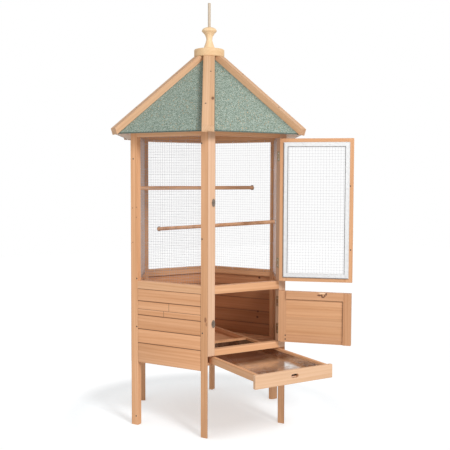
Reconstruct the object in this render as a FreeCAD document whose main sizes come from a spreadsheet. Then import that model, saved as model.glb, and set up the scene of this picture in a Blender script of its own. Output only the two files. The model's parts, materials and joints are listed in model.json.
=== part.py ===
# Hexagonal wooden aviary: mitred panels on six legs, a felted roof, two doors and a tray drawer.
# Millimetres, +Z up. The origin is on the floor, on the axis of the hexagon.
# The door panel faces -Y. Every panel is drawn in that front place and turned about Z.
import FreeCAD, Part
import math
import os
import Sketcher

# The driving dimensions, as they stand in the sheet
SIZES = [
    ("corner_radius", 323, "axis to an outer corner of the body"),
    ("frame_depth", 22, "thickness of stiles and rails"),
    ("stile_width", 28, "face width of a stile or leg"),
    ("rail_height", 28, "face height of a sill or middle rail"),
    ("body_top", 1104.5, "outer upper edge of the frames"),
    ("top_rail_height", 59.5, "face height of a top rail"),
    ("floor_top", 259, "upper face of the floor"),
    ("drawer_opening", 28, "opening for the drawer above the floor"),
    ("front_rail_height", 23, "face height of the front bottom rail"),
    ("lower_opening", 192, "height of the opening for the lower door"),
    ("cladding_drop", 26, "closed panels below the upper face of the floor"),
    ("top_board_height", 44, "face height of the uppermost cladding board"),
    ("board_height", 51, "face height of the cladding boards below it"),
    ("board_thickness", 12, "thickness of a cladding board"),
    ("board_setback", 1, "boards behind the face of the frame"),
    ("board_bevel", 1.6, "bevel along the edges of a board"),
    ("wire", 1, "thickness of a mesh wire"),
    ("wire_pitch", 12.7, "spacing of the mesh wires"),
    ("mesh_lap", 8, "mesh over the frame behind it"),
    ("eave_overhang", 59, "corner of the roof beyond the corner of the body"),
    ("roof_pitch", 43.9, "slope of a roof panel in degrees"),
    ("roof_thickness", 4, "thickness of a roof panel"),
    ("felt_thickness", 2, "thickness of the roofing felt"),
    ("batten_width", 42, "face width of a hip batten"),
    ("batten_ridge", 14, "batten thickness over the hip line"),
    ("batten_edge", 22, "batten thickness at its sides"),
    ("batten_overhang", 8, "batten beyond the corner of the roof"),
    ("batten_lap", 19, "batten under the cap disc"),
    ("batten_undercut", 7, "lower edge of a batten's end behind its upper edge"),
    ("cap_radius", 57, "radius of the cap disc"),
    ("cap_thickness", 30, "thickness of the cap disc"),
    ("cap_bevel", 2, "bevel of the cap disc"),
    ("finial_base", 24, "radius of the finial where it stands"),
    ("finial_neck", 11.3, "radius of the finial's waist"),
    ("finial_flare", 28, "radius of the finial's widest place"),
    ("finial_neck_height", 37, "waist above the disc"),
    ("finial_flare_height", 66, "widest place above the disc"),
    ("finial_lip", 2.4, "upright edge of the flare"),
    ("finial_height", 84, "top of the finial above the disc"),
    ("spike_radius", 5.4, "radius of the dowel on top"),
    ("spike_length", 104, "length of the dowel on top"),
    ("spike_seat", 15, "depth of the dowel in the finial"),
    ("spike_play", 0.1, "clearance around the dowel"),
    ("perch_radius", 7.2, "radius of a perch"),
    ("upper_perch_rise", 131, "upper perch above the side end of the lower one"),
    ("upper_perch_depth", 83, "upper perch behind the axis"),
    ("lower_perch_back_x", 86, "back end of the lower perch, to the left"),
    ("lower_perch_back_rise", 164, "back end of the lower perch above the sills"),
    ("lower_perch_side_y", 78, "side end of the lower perch, to the front"),
    ("lower_perch_side_rise", 201, "side end of the lower perch above the sills"),
    ("door_gap", 4, "clearance around a door"),
    ("door_depth", 20, "thickness of the door frames"),
    ("door_member", 28, "face width of the door frames"),
    ("edging_width", 11, "width of the mesh edging strip"),
    ("edging_thickness", 1, "thickness of the mesh edging strip"),
    ("edging_setback", 8, "edging behind the opening of the frame"),
    ("lower_door_panel", 14, "thickness of the lower door's boards"),
    ("mesh_door_angle", 139, "mesh door, degrees open as drawn"),
    ("lower_door_angle", 134, "lower door, degrees open as drawn"),
    ("hinge_height", 36, "height of a hinge"),
    ("hinge_leaf", 0.8, "thickness of a hinge leaf"),
    ("hinge_leaf_depth", 16, "hinge leaf along the edge of the wood"),
    ("knuckle_radius", 3, "radius of a hinge knuckle"),
    ("pin_radius", 1.5, "radius of a hinge pin"),
    ("pin_head", 2.4, "radius of a hinge pin's head"),
    ("pin_head_height", 1.2, "height of a hinge pin's head"),
    ("pin_play", 0.1, "clearance around a hinge pin"),
    ("hinge_play", 0.4, "clearance beside a turning knuckle"),
    ("mesh_door_hinge_inset", 62, "hinge from the end of the mesh door"),
    ("lower_door_hinge_inset", 42, "hinge from the end of the lower door"),
    ("button_length", 27, "length of a turn button"),
    ("button_width", 13, "width of a turn button"),
    ("button_thickness", 1.6, "thickness of a turn button"),
    ("button_play", 0.3, "turn button off the wood"),
    ("button_inset", 6.5, "turn button from the edge of its stile"),
    ("upper_button_height", 816, "upper turn button"),
    ("lower_button_height", 399, "lower turn button"),
    ("screw_radius", 2, "radius of a turn button's screw"),
    ("screw_head", 4, "radius of a screw head"),
    ("screw_crown", 3, "radius of the top of a screw head"),
    ("screw_head_height", 2, "height of a screw head"),
    ("screw_play", 0.1, "clearance around a turn button's screw"),
    ("floor_thickness", 9, "thickness of the floor planks"),
    ("bearer_height", 14, "height of a floor bearer"),
    ("bearer_depth", 18, "depth of a floor bearer"),
    ("bearer_end", 12, "floor bearer short of the stiles"),
    ("drawer_play", 0.3, "clearance under the drawer"),
    ("drawer_front_inset", 9, "drawer front inside the corner of the body"),
    ("drawer_front_gap", 2, "drawer front below the front bottom rail"),
    ("drawer_front_height", 45, "height of the drawer front"),
    ("drawer_front_depth", 12, "thickness of the drawer front"),
    ("drawer_inset", 19, "drawer inside the corner of the body"),
    ("drawer_back_gap", 22.5, "closed drawer off the back panel's frame"),
    ("drawer_head_gap", 3.7, "drawer's sides below the front bottom rail"),
    ("drawer_side_depth", 12, "thickness of the drawer's sides"),
    ("drawer_bottom", 3, "thickness of the drawer's bottom"),
    ("drawer_pull", 287, "drawer pulled out, as drawn"),
    ("slot_width", 29, "finger slot in the drawer front"),
    ("slot_height", 12, "height of the finger slot"),
    ("slot_drop", 20, "middle of the finger slot below the top of the front"),
    ("tray_sheet", 0.8, "thickness of the metal tray"),
    ("tray_rim", 14, "height of the metal tray"),
    ("tray_play", 0.5, "tray inside the drawer's sides"),
    ("guide_width", 14, "width of a drawer guide"),
    ("guide_height", 20, "height of a drawer guide"),
    ("guide_gap", 22, "drawer guide off the frames"),
    ("guide_play", 1, "clearance beside the drawer"),
]

# The panels anticlockwise, as seen from above
PANELS = ("front", "right_front", "right_back", "back", "left_back", "left_front")
LEGS = {
    "right_front": ("left",), "right_back": ("left", "right"),
    "left_back": ("left",), "left_front": ("left", "right"),
}
CLOSED = ("left_front", "right_front", "right_back", "back", "left_back")
FULL_ANGLE = 360
QUARTER_ANGLE = FULL_ANGLE / 4
PANEL_ANGLE = FULL_ANGLE / len(PANELS)
HALF_ANGLE = PANEL_ANGLE / 2
PLANKS = 6
BOARDS = 3
DOOR_BOARDS = 4
# Steps along the curves of the turned finial, and how sharply its foot and its flare bend
FOOT_STEPS = 2
FLARE_STEPS = 3
DOME_STEPS = 2
FOOT_BEND = 1.25
FLARE_BEND = 1.7

doc = FreeCAD.newDocument("aviary")
sheet = doc.addObject("Spreadsheet::Sheet", "sizes")
for line, (alias, value, note) in enumerate(SIZES, 1):
    sheet.set(f"A{line}", note)
    sheet.set(f"B{line}", str(value))
    sheet.setAlias(f"B{line}", alias)
doc.recompute()

# Places that follow from the sheet, as expressions
APOTHEM = f"(sizes.corner_radius * cos({HALF_ANGLE}))"
INNER = f"({APOTHEM} - sizes.frame_depth)"
HALF_SIDE = "(sizes.corner_radius / 2)"
HALF_OPENING = f"({HALF_SIDE} - sizes.stile_width)"
MITRE = f"(sizes.frame_depth * tan({HALF_ANGLE}))"
SLOPE = "tan(sizes.roof_pitch)"
BODY_TOP_INNER = f"(sizes.body_top + sizes.frame_depth * {SLOPE})"
EAVE_RADIUS = "(sizes.corner_radius + sizes.eave_overhang)"
EAVE_APOTHEM = f"({EAVE_RADIUS} * cos({HALF_ANGLE}))"
EAVE = f"(sizes.body_top - ({EAVE_APOTHEM} - {APOTHEM}) * {SLOPE})"
SHEET_RISE = "(sizes.roof_thickness / cos(sizes.roof_pitch))"
FELT_RISE = "(sizes.felt_thickness / cos(sizes.roof_pitch))"
ROOF_PEAK = f"({EAVE} + {EAVE_APOTHEM} * {SLOPE} + {SHEET_RISE} + {FELT_RISE})"
HIP_SLOPE = f"({SLOPE} * cos({HALF_ANGLE}))"
HIP_RUN = f"sqrt(1 + {HIP_SLOPE} * {HIP_SLOPE})"
BATTEN_RISE = f"(sizes.batten_ridge * {HIP_RUN})"
CAP_BOTTOM = f"({ROOF_PEAK} - sizes.cap_radius * {HIP_SLOPE} + {BATTEN_RISE})"
CAP_TOP = f"({CAP_BOTTOM} + sizes.cap_thickness)"
ROOF_STOP = f"((sizes.cap_radius * {HIP_SLOPE} - {BATTEN_RISE}) / {SLOPE})"
TOP_RAIL_BOTTOM = "(sizes.body_top - sizes.top_rail_height)"
FRONT_RAIL_BOTTOM = "(sizes.floor_top + sizes.drawer_opening)"
FRONT_RAIL_TOP = f"({FRONT_RAIL_BOTTOM} + sizes.front_rail_height)"
SILL_BOTTOM = f"({FRONT_RAIL_TOP} + sizes.lower_opening)"
SILL_TOP = f"({SILL_BOTTOM} + sizes.rail_height)"
CLADDING_BOTTOM = "(sizes.floor_top - sizes.cladding_drop)"
MESH_PLANE = f"({INNER} - 2 * sizes.wire)"
HINGE_X = f"({HALF_OPENING} - sizes.door_gap / 2)"
HINGE_Y = f"(-{APOTHEM} - sizes.knuckle_radius - sizes.hinge_play / 2)"
BUTTON_X = f"(-{HALF_OPENING} - sizes.button_inset)"
BUTTON_Y = f"(-{APOTHEM} - sizes.button_play)"
DRAWER_BOTTOM = "(sizes.floor_top + sizes.drawer_play)"
DRAWER_FRONT_TOP = f"({FRONT_RAIL_BOTTOM} - sizes.drawer_front_gap)"
DRAWER_HALF = f"({HALF_SIDE} - sizes.drawer_inset)"
BOARD_FACE = f"(-{APOTHEM} + sizes.board_setback)"
BOARD_BACK = f"({BOARD_FACE} + sizes.board_thickness)"


def size(alias):
    """The value of one cell of the sheet."""
    return float(sheet.get(alias))


def panel_angle(panel):
    """How far a panel is turned about Z from the front place."""
    return PANEL_ANGLE * PANELS.index(panel)


def sill_height():
    """The height of SILL_TOP as a number."""
    below = size("floor_top") + size("drawer_opening") + size("front_rail_height")
    return below + size("lower_opening") + size("rail_height")


def bind(piece, expressions):
    """Ties properties of an object to the sheet."""
    for name, expression in expressions.items():
        piece.setExpression(name, expression)
    return piece


def block(name, x, y, z):
    """A straight piece between two places on each axis, given as pairs of expressions."""
    piece = doc.addObject("Part::Box", name)
    spans = {"Length": x, "Width": y, "Height": z}
    for letter, (length, (low, high)) in zip("xyz", spans.items()):
        piece.setExpression(f"Placement.Base.{letter}", low)
        piece.setExpression(length, f"({high}) - ({low})")
    return piece


def mitred(name, outer, inner, bottom, outer_top, inner_top):
    """A piece as deep as the frame, whose ends and top may slant from face to face."""
    piece = doc.addObject("Part::Wedge", name)
    return bind(piece, {
        "Ymin": f"-{APOTHEM}", "Ymax": f"-{INNER}",
        "Xmin": outer[0], "Xmax": outer[1], "X2min": inner[0], "X2max": inner[1],
        "Zmin": bottom, "Z2min": bottom, "Zmax": outer_top, "Z2max": inner_top,
    })


def origin_plane(body, role):
    """One of a body's own three planes."""
    return [plane for plane in body.Origin.OriginFeatures if plane.Role == role][0]


def outline(body, name, role, corners):
    """A closed sketch of straight lines whose corners are pairs of expressions."""
    sketch = body.newObject("Sketcher::SketchObject", name)
    sketch.AttachmentSupport = [(origin_plane(body, role), "")]
    sketch.MapMode = "FlatFace"
    count = len(corners)
    start = [
        FreeCAD.Vector(math.cos(2 * math.pi * i / count), math.sin(2 * math.pi * i / count), 0)
        for i in range(count)
    ]
    for i in range(count):
        sketch.addGeometry(Part.LineSegment(start[i], start[(i + 1) % count]), False)
    for i in range(count):
        sketch.addConstraint(Sketcher.Constraint("Coincident", i, 2, (i + 1) % count, 1))
    for i, corner in enumerate(corners):
        for kind, axis, place, value in zip(("DistanceX", "DistanceY"), (-2, -1), corner, start[i]):
            if place == "0":
                sketch.addConstraint(Sketcher.Constraint("PointOnObject", i, 1, axis))
            else:
                rule = sketch.addConstraint(Sketcher.Constraint(kind, -1, 1, i, 1, value))
                sketch.setExpression(f"Constraints[{rule}]", place)
    return sketch


def pad(body, name, sketch, length, centred=False):
    """Thickens a sketch, to one side or to both."""
    feature = body.newObject("PartDesign::Pad", name)
    feature.Profile = sketch
    feature.SideType = "Symmetric" if centred else "One side"
    feature.setExpression("Length", length)
    return feature


def new_body(name):
    """An empty body."""
    return doc.addObject("PartDesign::Body", name)


def extrusion(name, role, corners, length, centred=True):
    """A body with one padded outline."""
    body = new_body(name)
    pad(body, f"{name}_pad", outline(body, f"{name}_outline", role, corners), length, centred)
    return body


def turned(name, corners):
    """A body turned about Z from an outline of (radius, height) corners."""
    body = new_body(name)
    sketch = outline(body, f"{name}_outline", "XZ_Plane", corners)
    spin = body.newObject("PartDesign::Revolution", f"{name}_turned")
    spin.Profile = sketch
    spin.ReferenceAxis = (sketch, ["V_Axis"])
    spin.Angle = FULL_ANGLE
    return body


def rod(name, radius, height, x="0", y="0", z="0"):
    """A round upright rod."""
    piece = doc.addObject("Part::Cylinder", name)
    return bind(piece, {
        "Radius": radius, "Height": height,
        "Placement.Base.x": x, "Placement.Base.y": y, "Placement.Base.z": z,
    })


def joined(name, pieces):
    """One object made of pieces that touch."""
    piece = doc.addObject("Part::MultiFuse", name)
    piece.Shapes = pieces
    piece.Refine = True
    return piece


def shared(name, pieces):
    """The space that pieces have in common."""
    piece = doc.addObject("Part::MultiCommon", name)
    piece.Shapes = pieces
    return piece


def without(name, base, tool):
    """One piece with another cut out of it."""
    piece = doc.addObject("Part::Cut", name)
    piece.Base = base
    piece.Tool = tool
    piece.Refine = True
    return piece


def group(name, pieces, angle=0):
    """Separate solids as one object, turned about Z by whole panels."""
    piece = doc.addObject("Part::Compound", name)
    piece.Links = pieces
    piece.Placement = FreeCAD.Placement(
        FreeCAD.Vector(0, 0, 0), FreeCAD.Rotation(FreeCAD.Vector(0, 0, 1), angle)
    )
    return piece


nodes = []


def node(name, pieces, angle=0):
    """A sub-part that is written to its own file."""
    piece = group(f"{name}_node", pieces, angle)
    piece.Label = name
    nodes.append(piece)
    return piece


def swung(piece, angle):
    """Turns a sub-part of a door about the hinge line by an angle of the sheet."""
    piece.Placement = FreeCAD.Placement(
        FreeCAD.Vector(0, 0, 0), FreeCAD.Rotation(FreeCAD.Vector(0, 0, 1), 1)
    )
    return bind(piece, {
        "Placement.Rotation.Angle": angle,
        "Placement.Base.x": f"{HINGE_X} - {HINGE_X} * cos({angle}) + {HINGE_Y} * sin({angle})",
        "Placement.Base.y": f"{HINGE_Y} - {HINGE_X} * sin({angle}) - {HINGE_Y} * cos({angle})",
    })


def minus(expression):
    """The same distance to the other side."""
    return f"-({expression})"


# Frames of the panels

def stile_pair(name, bottom):
    """The mitred uprights of a panel by their side, bevelled on top to the pitch of the roof."""
    outer_tip = HALF_SIDE
    inner_tip = f"{HALF_SIDE} - {MITRE}"
    right = mitred(
        f"{name}_right", (HALF_OPENING, outer_tip), (HALF_OPENING, inner_tip),
        bottom, "sizes.body_top", BODY_TOP_INNER,
    )
    left = mitred(
        f"{name}_left", (minus(outer_tip), minus(HALF_OPENING)),
        (minus(inner_tip), minus(HALF_OPENING)), bottom, "sizes.body_top", BODY_TOP_INNER,
    )
    return {"left": left, "right": right}


def rail(name, bottom, top):
    """A level rail between the stiles."""
    span = (minus(HALF_OPENING), HALF_OPENING)
    return block(name, span, (f"-{APOTHEM}", f"-{INNER}"), (bottom, top))


def top_rail(name):
    """The rail under the roof, bevelled to its pitch."""
    span = (minus(HALF_OPENING), HALF_OPENING)
    return mitred(name, span, span, TOP_RAIL_BOTTOM, "sizes.body_top", BODY_TOP_INNER)


def bevelled_board(name, bottom, top, face, back, half_width):
    """A level cladding board, bevelled along both edges of its face."""
    cut = "sizes.board_bevel"
    corners = [
        (back, bottom), (f"{face} + {cut}", bottom), (face, f"{bottom} + {cut}"),
        (face, f"{top} - {cut}"), (f"{face} + {cut}", top), (back, top),
    ]
    return extrusion(name, "YZ_Plane", corners, f"2 * ({half_width})")


def cladding():
    """Boards from the sill down, the lowest one taking what is left."""
    top = f"({SILL_BOTTOM} - sizes.top_board_height)"
    boards = [bevelled_board("board_top", top, SILL_BOTTOM, BOARD_FACE, BOARD_BACK, HALF_OPENING)]
    for i in range(BOARDS):
        bottom = f"({top} - sizes.board_height)"
        boards.append(
            bevelled_board(f"board_{i + 1}", bottom, top, BOARD_FACE, BOARD_BACK, HALF_OPENING)
        )
        top = bottom
    boards.append(bevelled_board(
        "board_lowest", CLADDING_BOTTOM, top, BOARD_FACE, BOARD_BACK, HALF_OPENING,
    ))
    return boards


def mesh_wires(name, half_width, bottom, top, face_y):
    """Welded mesh: a layer of upright wires and, touching it, a layer of level ones."""
    wire = size("wire")
    pitch = size("wire_pitch")

    def bars(low, high):
        count = int((high - low - wire) // pitch)
        first = (low + high - count * pitch - wire) / 2
        return [first + i * pitch for i in range(count + 1)]

    uprights = [
        Part.makeBox(wire, wire, top - bottom, FreeCAD.Vector(x, face_y, bottom))
        for x in bars(-half_width, half_width)
    ]
    levels = [
        Part.makeBox(2 * half_width, wire, wire, FreeCAD.Vector(-half_width, face_y + wire, z))
        for z in bars(bottom, top)
    ]
    piece = doc.addObject("Part::Feature", name)
    piece.Shape = Part.makeCompound(uprights + levels)
    return piece


def build_panels():
    """The six panels of the body."""
    legs = stile_pair("leg", "0")
    short = stile_pair("short_stile", CLADDING_BOTTOM)
    top = top_rail("top_rail")
    sill = rail("sill", SILL_BOTTOM, SILL_TOP)
    boards = cladding()
    half_side = size("corner_radius") / 2
    inner = half_side / math.tan(math.radians(HALF_ANGLE)) - size("frame_depth")
    mesh = mesh_wires(
        "panel_mesh",
        half_side - size("stile_width") + size("mesh_lap"),
        sill_height() - size("mesh_lap"),
        size("body_top") - size("top_rail_height") + size("mesh_lap"),
        -inner,
    )
    for panel in CLOSED:
        angle = panel_angle(panel)
        stiles = [
            (legs if side in LEGS.get(panel, ()) else short)[side] for side in ("left", "right")
        ]
        node(f"{panel}_stiles", stiles, angle)
        node(f"{panel}_rails", [top, sill], angle)
        node(f"{panel}_boards", boards, angle)
        node(f"{panel}_mesh", [mesh], angle)
    node("front_stiles", list(stile_pair("front_stile", FRONT_RAIL_BOTTOM).values()))
    node("front_rails", [
        top_rail("front_top_rail"),
        rail("front_middle_rail", SILL_BOTTOM, SILL_TOP),
        rail("front_bottom_rail", FRONT_RAIL_BOTTOM, FRONT_RAIL_TOP),
    ])


# Roof

def sector():
    """The upright wedge of space that belongs to one roof panel."""
    reach = EAVE_RADIUS
    far = f"-{EAVE_RADIUS} / tan({HALF_ANGLE})"
    return extrusion(
        "roof_sector", "XY_Plane", [("0", "0"), (f"-{reach}", far), (reach, far)],
        "2 * sizes.body_top", centred=False,
    )


def roof_line(apothem, rise="0"):
    """Height of the roof's underside, or of a layer above it, at a distance from the axis."""
    return f"({EAVE} + ({EAVE_APOTHEM} - {apothem}) * {SLOPE} + {rise})"


def batten_line(radius, rise="0"):
    """Height of a batten's top, or of a line beside it, over the hip."""
    return f"({ROOF_PEAK} + {BATTEN_RISE} - {radius} * {HIP_SLOPE} + {rise})"


def build_roof():
    """Six mitred panels, their felt, and the battens that cover the hips."""
    eave = EAVE_APOTHEM
    stop = ROOF_STOP
    wide = f"2 * {EAVE_RADIUS}"
    slab = extrusion("roof_slab", "YZ_Plane", [
        (f"-{eave}", EAVE), (f"-{eave}", roof_line(eave, SHEET_RISE)),
        (f"-{stop}", roof_line(stop, SHEET_RISE)), (f"-{stop}", roof_line(stop)),
    ], wide)
    lip = f"({eave} + sizes.felt_thickness)"
    both = f"({SHEET_RISE} + {FELT_RISE})"
    felt = extrusion("felt_slab", "YZ_Plane", [
        (f"-{eave}", EAVE), (f"-{eave}", roof_line(eave, SHEET_RISE)),
        (f"-{stop}", roof_line(stop, SHEET_RISE)), (f"-{stop}", roof_line(stop, both)),
        (f"-{lip}", roof_line(lip, both)), (f"-{lip}", EAVE),
    ], wide)
    space = sector()
    roof_panel = shared("roof_panel", [slab, space])
    roof_felt = shared("roof_felt", [felt, space])
    for panel in PANELS:
        node(f"roof_panel_{panel}", [roof_panel], panel_angle(panel))
        node(f"roof_felt_{panel}", [roof_felt], panel_angle(panel))
    base = f"({EAVE} - 2 * sizes.batten_edge)"
    under = extrusion("under_roof", "YZ_Plane", [
        (f"-{lip}", base), (f"-{lip}", roof_line(lip, both)), ("0", ROOF_PEAK), ("0", base),
    ], wide)
    core = shared("roof_core", [
        group("under_left", [under], -HALF_ANGLE), group("under_right", [under], HALF_ANGLE),
    ])
    tip = f"({EAVE_RADIUS} + sizes.batten_overhang)"
    heel = f"({tip} - sizes.batten_undercut)"
    depth = f"-sizes.batten_edge * {HIP_RUN}"
    upper = "(sizes.cap_radius - sizes.batten_lap)"
    bar = extrusion("batten_bar", "YZ_Plane", [
        (f"-{tip}", batten_line(tip)), ("-sizes.cap_radius", CAP_BOTTOM),
        (f"-{upper}", CAP_BOTTOM),
        (f"-{upper}", batten_line(upper, depth)), (f"-{heel}", batten_line(heel, depth)),
    ], "sizes.batten_width")
    batten = without("hip_batten", bar, core)
    node("hip_battens", [
        group(f"hip_batten_{i + 1}", [batten], PANEL_ANGLE * i + HALF_ANGLE)
        for i in range(len(PANELS))
    ])


def finial_outline():
    """Corners of the turned finial: a foot, a waist, a trumpet flare, a lip and a domed top, bored."""
    foot = "(sizes.finial_base - sizes.finial_neck)"
    corners = [("0", "0")]
    for i in range(FOOT_STEPS):
        left = f"(1 - {i} / {FOOT_STEPS})"
        corners.append((
            f"sizes.finial_neck + {foot} * pow({left}; {FOOT_BEND})",
            f"sizes.finial_neck_height * {i} / {FOOT_STEPS}" if i else "0",
        ))
    flare = "(sizes.finial_flare - sizes.finial_neck)"
    rise = "(sizes.finial_flare_height - sizes.finial_neck_height)"
    for i in range(FLARE_STEPS + 1):
        share = f"({i} / {FLARE_STEPS})"
        corners.append((
            f"sizes.finial_neck + {flare} * pow({share}; {FLARE_BEND})",
            f"sizes.finial_neck_height + {rise} * {share}",
        ))
    bore = "(sizes.spike_radius + sizes.spike_play)"
    lip = "(sizes.finial_flare_height + sizes.finial_lip)"
    for i in range(DOME_STEPS + 1):
        angle = QUARTER_ANGLE * i / DOME_STEPS
        corners.append((
            f"{bore} + (sizes.finial_flare - {bore}) * cos({angle})",
            f"{lip} + (sizes.finial_height - {lip}) * sin({angle})",
        ))
    seat = "sizes.finial_height - sizes.spike_seat"
    return corners + [(bore, seat), ("0", seat)]


def build_top():
    """The cap disc on the battens, the finial on it and the dowel in the finial."""
    cap = turned("cap_body", [
        ("0", "0"), ("sizes.cap_radius - sizes.cap_bevel", "0"),
        ("sizes.cap_radius", "sizes.cap_bevel"),
        ("sizes.cap_radius", "sizes.cap_thickness - sizes.cap_bevel"),
        ("sizes.cap_radius - sizes.cap_bevel", "sizes.cap_thickness"),
        ("0", "sizes.cap_thickness"),
    ])
    cap.setExpression("Placement.Base.z", CAP_BOTTOM)
    node("cap_disc", [cap])
    finial = turned("finial_body", finial_outline())
    finial.setExpression("Placement.Base.z", CAP_TOP)
    node("finial", [finial])
    foot = f"({CAP_TOP} + sizes.finial_height - sizes.spike_seat)"
    node("spike", [rod("spike_rod", "sizes.spike_radius", "sizes.spike_length", z=foot)])


# Perches

def perch(name, near, far):
    """A dowel between two places, cut at its ends by the planes of the mesh."""
    along = (far - near).normalize()
    reach = size("corner_radius") / 2
    length = (far - near).Length + 2 * reach
    piece = doc.addObject("Part::Cylinder", f"{name}_rod")
    piece.setExpression("Radius", "sizes.perch_radius")
    piece.Height = length
    piece.Placement = FreeCAD.Placement(
        near - along * reach, FreeCAD.Rotation(FreeCAD.Vector(0, 0, 1), along)
    )
    return piece


def build_perches():
    """Two dowels that end on the mesh."""
    space = doc.addObject("Part::Prism", "inside_mesh")
    space.Polygon = len(PANELS)
    bind(space, {"Circumradius": f"{MESH_PLANE} / cos({HALF_ANGLE})", "Height": "sizes.body_top"})
    half_side = size("corner_radius") / 2
    plane = half_side / math.tan(math.radians(HALF_ANGLE)) - size("frame_depth")
    plane -= 2 * size("wire")
    lean = math.radians(HALF_ANGLE)
    depth = size("upper_perch_depth")
    width = (plane - depth * math.sin(lean)) / math.cos(lean)
    back_height = sill_height() + size("lower_perch_back_rise")
    side_height = sill_height() + size("lower_perch_side_rise")
    height = side_height + size("upper_perch_rise")
    upper = perch(
        "upper_perch", FreeCAD.Vector(-width, depth, height), FreeCAD.Vector(width, depth, height)
    )
    side = size("lower_perch_side_y")
    lower = perch(
        "lower_perch",
        FreeCAD.Vector(-size("lower_perch_back_x"), plane, back_height),
        FreeCAD.Vector((plane - side * math.sin(lean)) / math.cos(lean), -side, side_height),
    )
    node("upper_perch", [shared("upper_perch_cut", [upper, space])])
    node("lower_perch", [shared("lower_perch_cut", [lower, space])])


# Doors

def door_block(name, x, z, depth="sizes.door_depth"):
    """A member of a door frame, flush with the face of the body."""
    return block(name, x, (f"-{APOTHEM}", f"-{APOTHEM} + {depth}"), z)


DOOR_HALF = f"({HALF_OPENING} - sizes.door_gap)"
DOOR_INNER = f"({DOOR_HALF} - sizes.door_member)"
MESH_DOOR = (f"({SILL_TOP} + sizes.door_gap)", f"({TOP_RAIL_BOTTOM} - sizes.door_gap)")
LOWER_DOOR = (f"({FRONT_RAIL_TOP} + sizes.door_gap)", f"({SILL_BOTTOM} - sizes.door_gap)")


def build_mesh_door():
    """A wooden frame with mesh on its inner face, under a folded metal edging."""
    low, high = MESH_DOOR
    member = "sizes.door_member"
    stiles = [
        door_block("mesh_door_left", (minus(DOOR_HALF), minus(DOOR_INNER)), (low, high)),
        door_block("mesh_door_right", (DOOR_INNER, DOOR_HALF), (low, high)),
    ]
    span = (minus(DOOR_INNER), DOOR_INNER)
    rails = [
        door_block("mesh_door_bottom", span, (low, f"{low} + {member}")),
        door_block("mesh_door_top", span, (f"{high} - {member}", high)),
    ]
    half_side = size("corner_radius") / 2
    opening = half_side - size("stile_width") - size("door_gap") - size("door_member")
    back = size("door_depth") - half_side / math.tan(math.radians(HALF_ANGLE))
    edge = size("door_gap") + size("door_member") - size("mesh_lap")
    mesh = mesh_wires(
        "door_mesh", opening + size("mesh_lap"),
        sill_height() + edge, size("body_top") - size("top_rail_height") - edge, back,
    )
    cover = f"(-{APOTHEM} + sizes.door_depth + 2 * sizes.wire)"
    skin = (cover, f"{cover} + sizes.edging_thickness")
    out = f"({DOOR_INNER} + sizes.edging_setback)"
    inside = f"({out} - sizes.edging_width)"
    strip_low = f"({low} + {member} - sizes.edging_setback)"
    strip_high = f"({high} - {member} + sizes.edging_setback)"
    edging = [
        block("edging_left", (minus(out), minus(inside)), skin, (strip_low, strip_high)),
        block("edging_right", (inside, out), skin, (strip_low, strip_high)),
        block("edging_bottom", (minus(inside), inside), skin,
              (strip_low, f"{strip_low} + sizes.edging_width")),
        block("edging_top", (minus(inside), inside), skin,
              (f"{strip_high} - sizes.edging_width", strip_high)),
    ]
    parts = {
        "mesh_door_stiles": stiles, "mesh_door_rails": rails,
        "mesh_door_mesh": [mesh], "mesh_door_edging": edging,
    }
    for name, pieces in parts.items():
        swung(node(name, pieces), "sizes.mesh_door_angle")


def build_lower_door():
    """A boarded door whose top rail and closing stile stand proud of the boards inside."""
    low, high = LOWER_DOOR
    member = "sizes.door_member"
    panel = "sizes.lower_door_panel"
    span = (minus(DOOR_INNER), DOOR_INNER)
    frame = [
        door_block("lower_door_left", (minus(DOOR_HALF), minus(DOOR_INNER)), (low, high)),
        door_block("lower_door_right", (DOOR_INNER, DOOR_HALF), (low, high), panel),
        door_block("lower_door_top", span, (f"{high} - {member}", high)),
        door_block("lower_door_bottom", span, (low, f"{low} + {member}"), panel),
    ]
    count = DOOR_BOARDS
    space = f"(({high}) - ({low}) - 2 * {member})"
    boards = []
    for i in range(count):
        bottom = f"({low} + {member} + {space} * {i} / {count})"
        top = f"({low} + {member} + {space} * {i + 1} / {count})"
        boards.append(bevelled_board(
            f"lower_door_board_{i + 1}", bottom, top, BOARD_FACE, f"(-{APOTHEM} + {panel})",
            DOOR_INNER,
        ))
    swung(node("lower_door_frame", frame), "sizes.lower_door_angle")
    swung(node("lower_door_boards", boards), "sizes.lower_door_angle")


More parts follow.
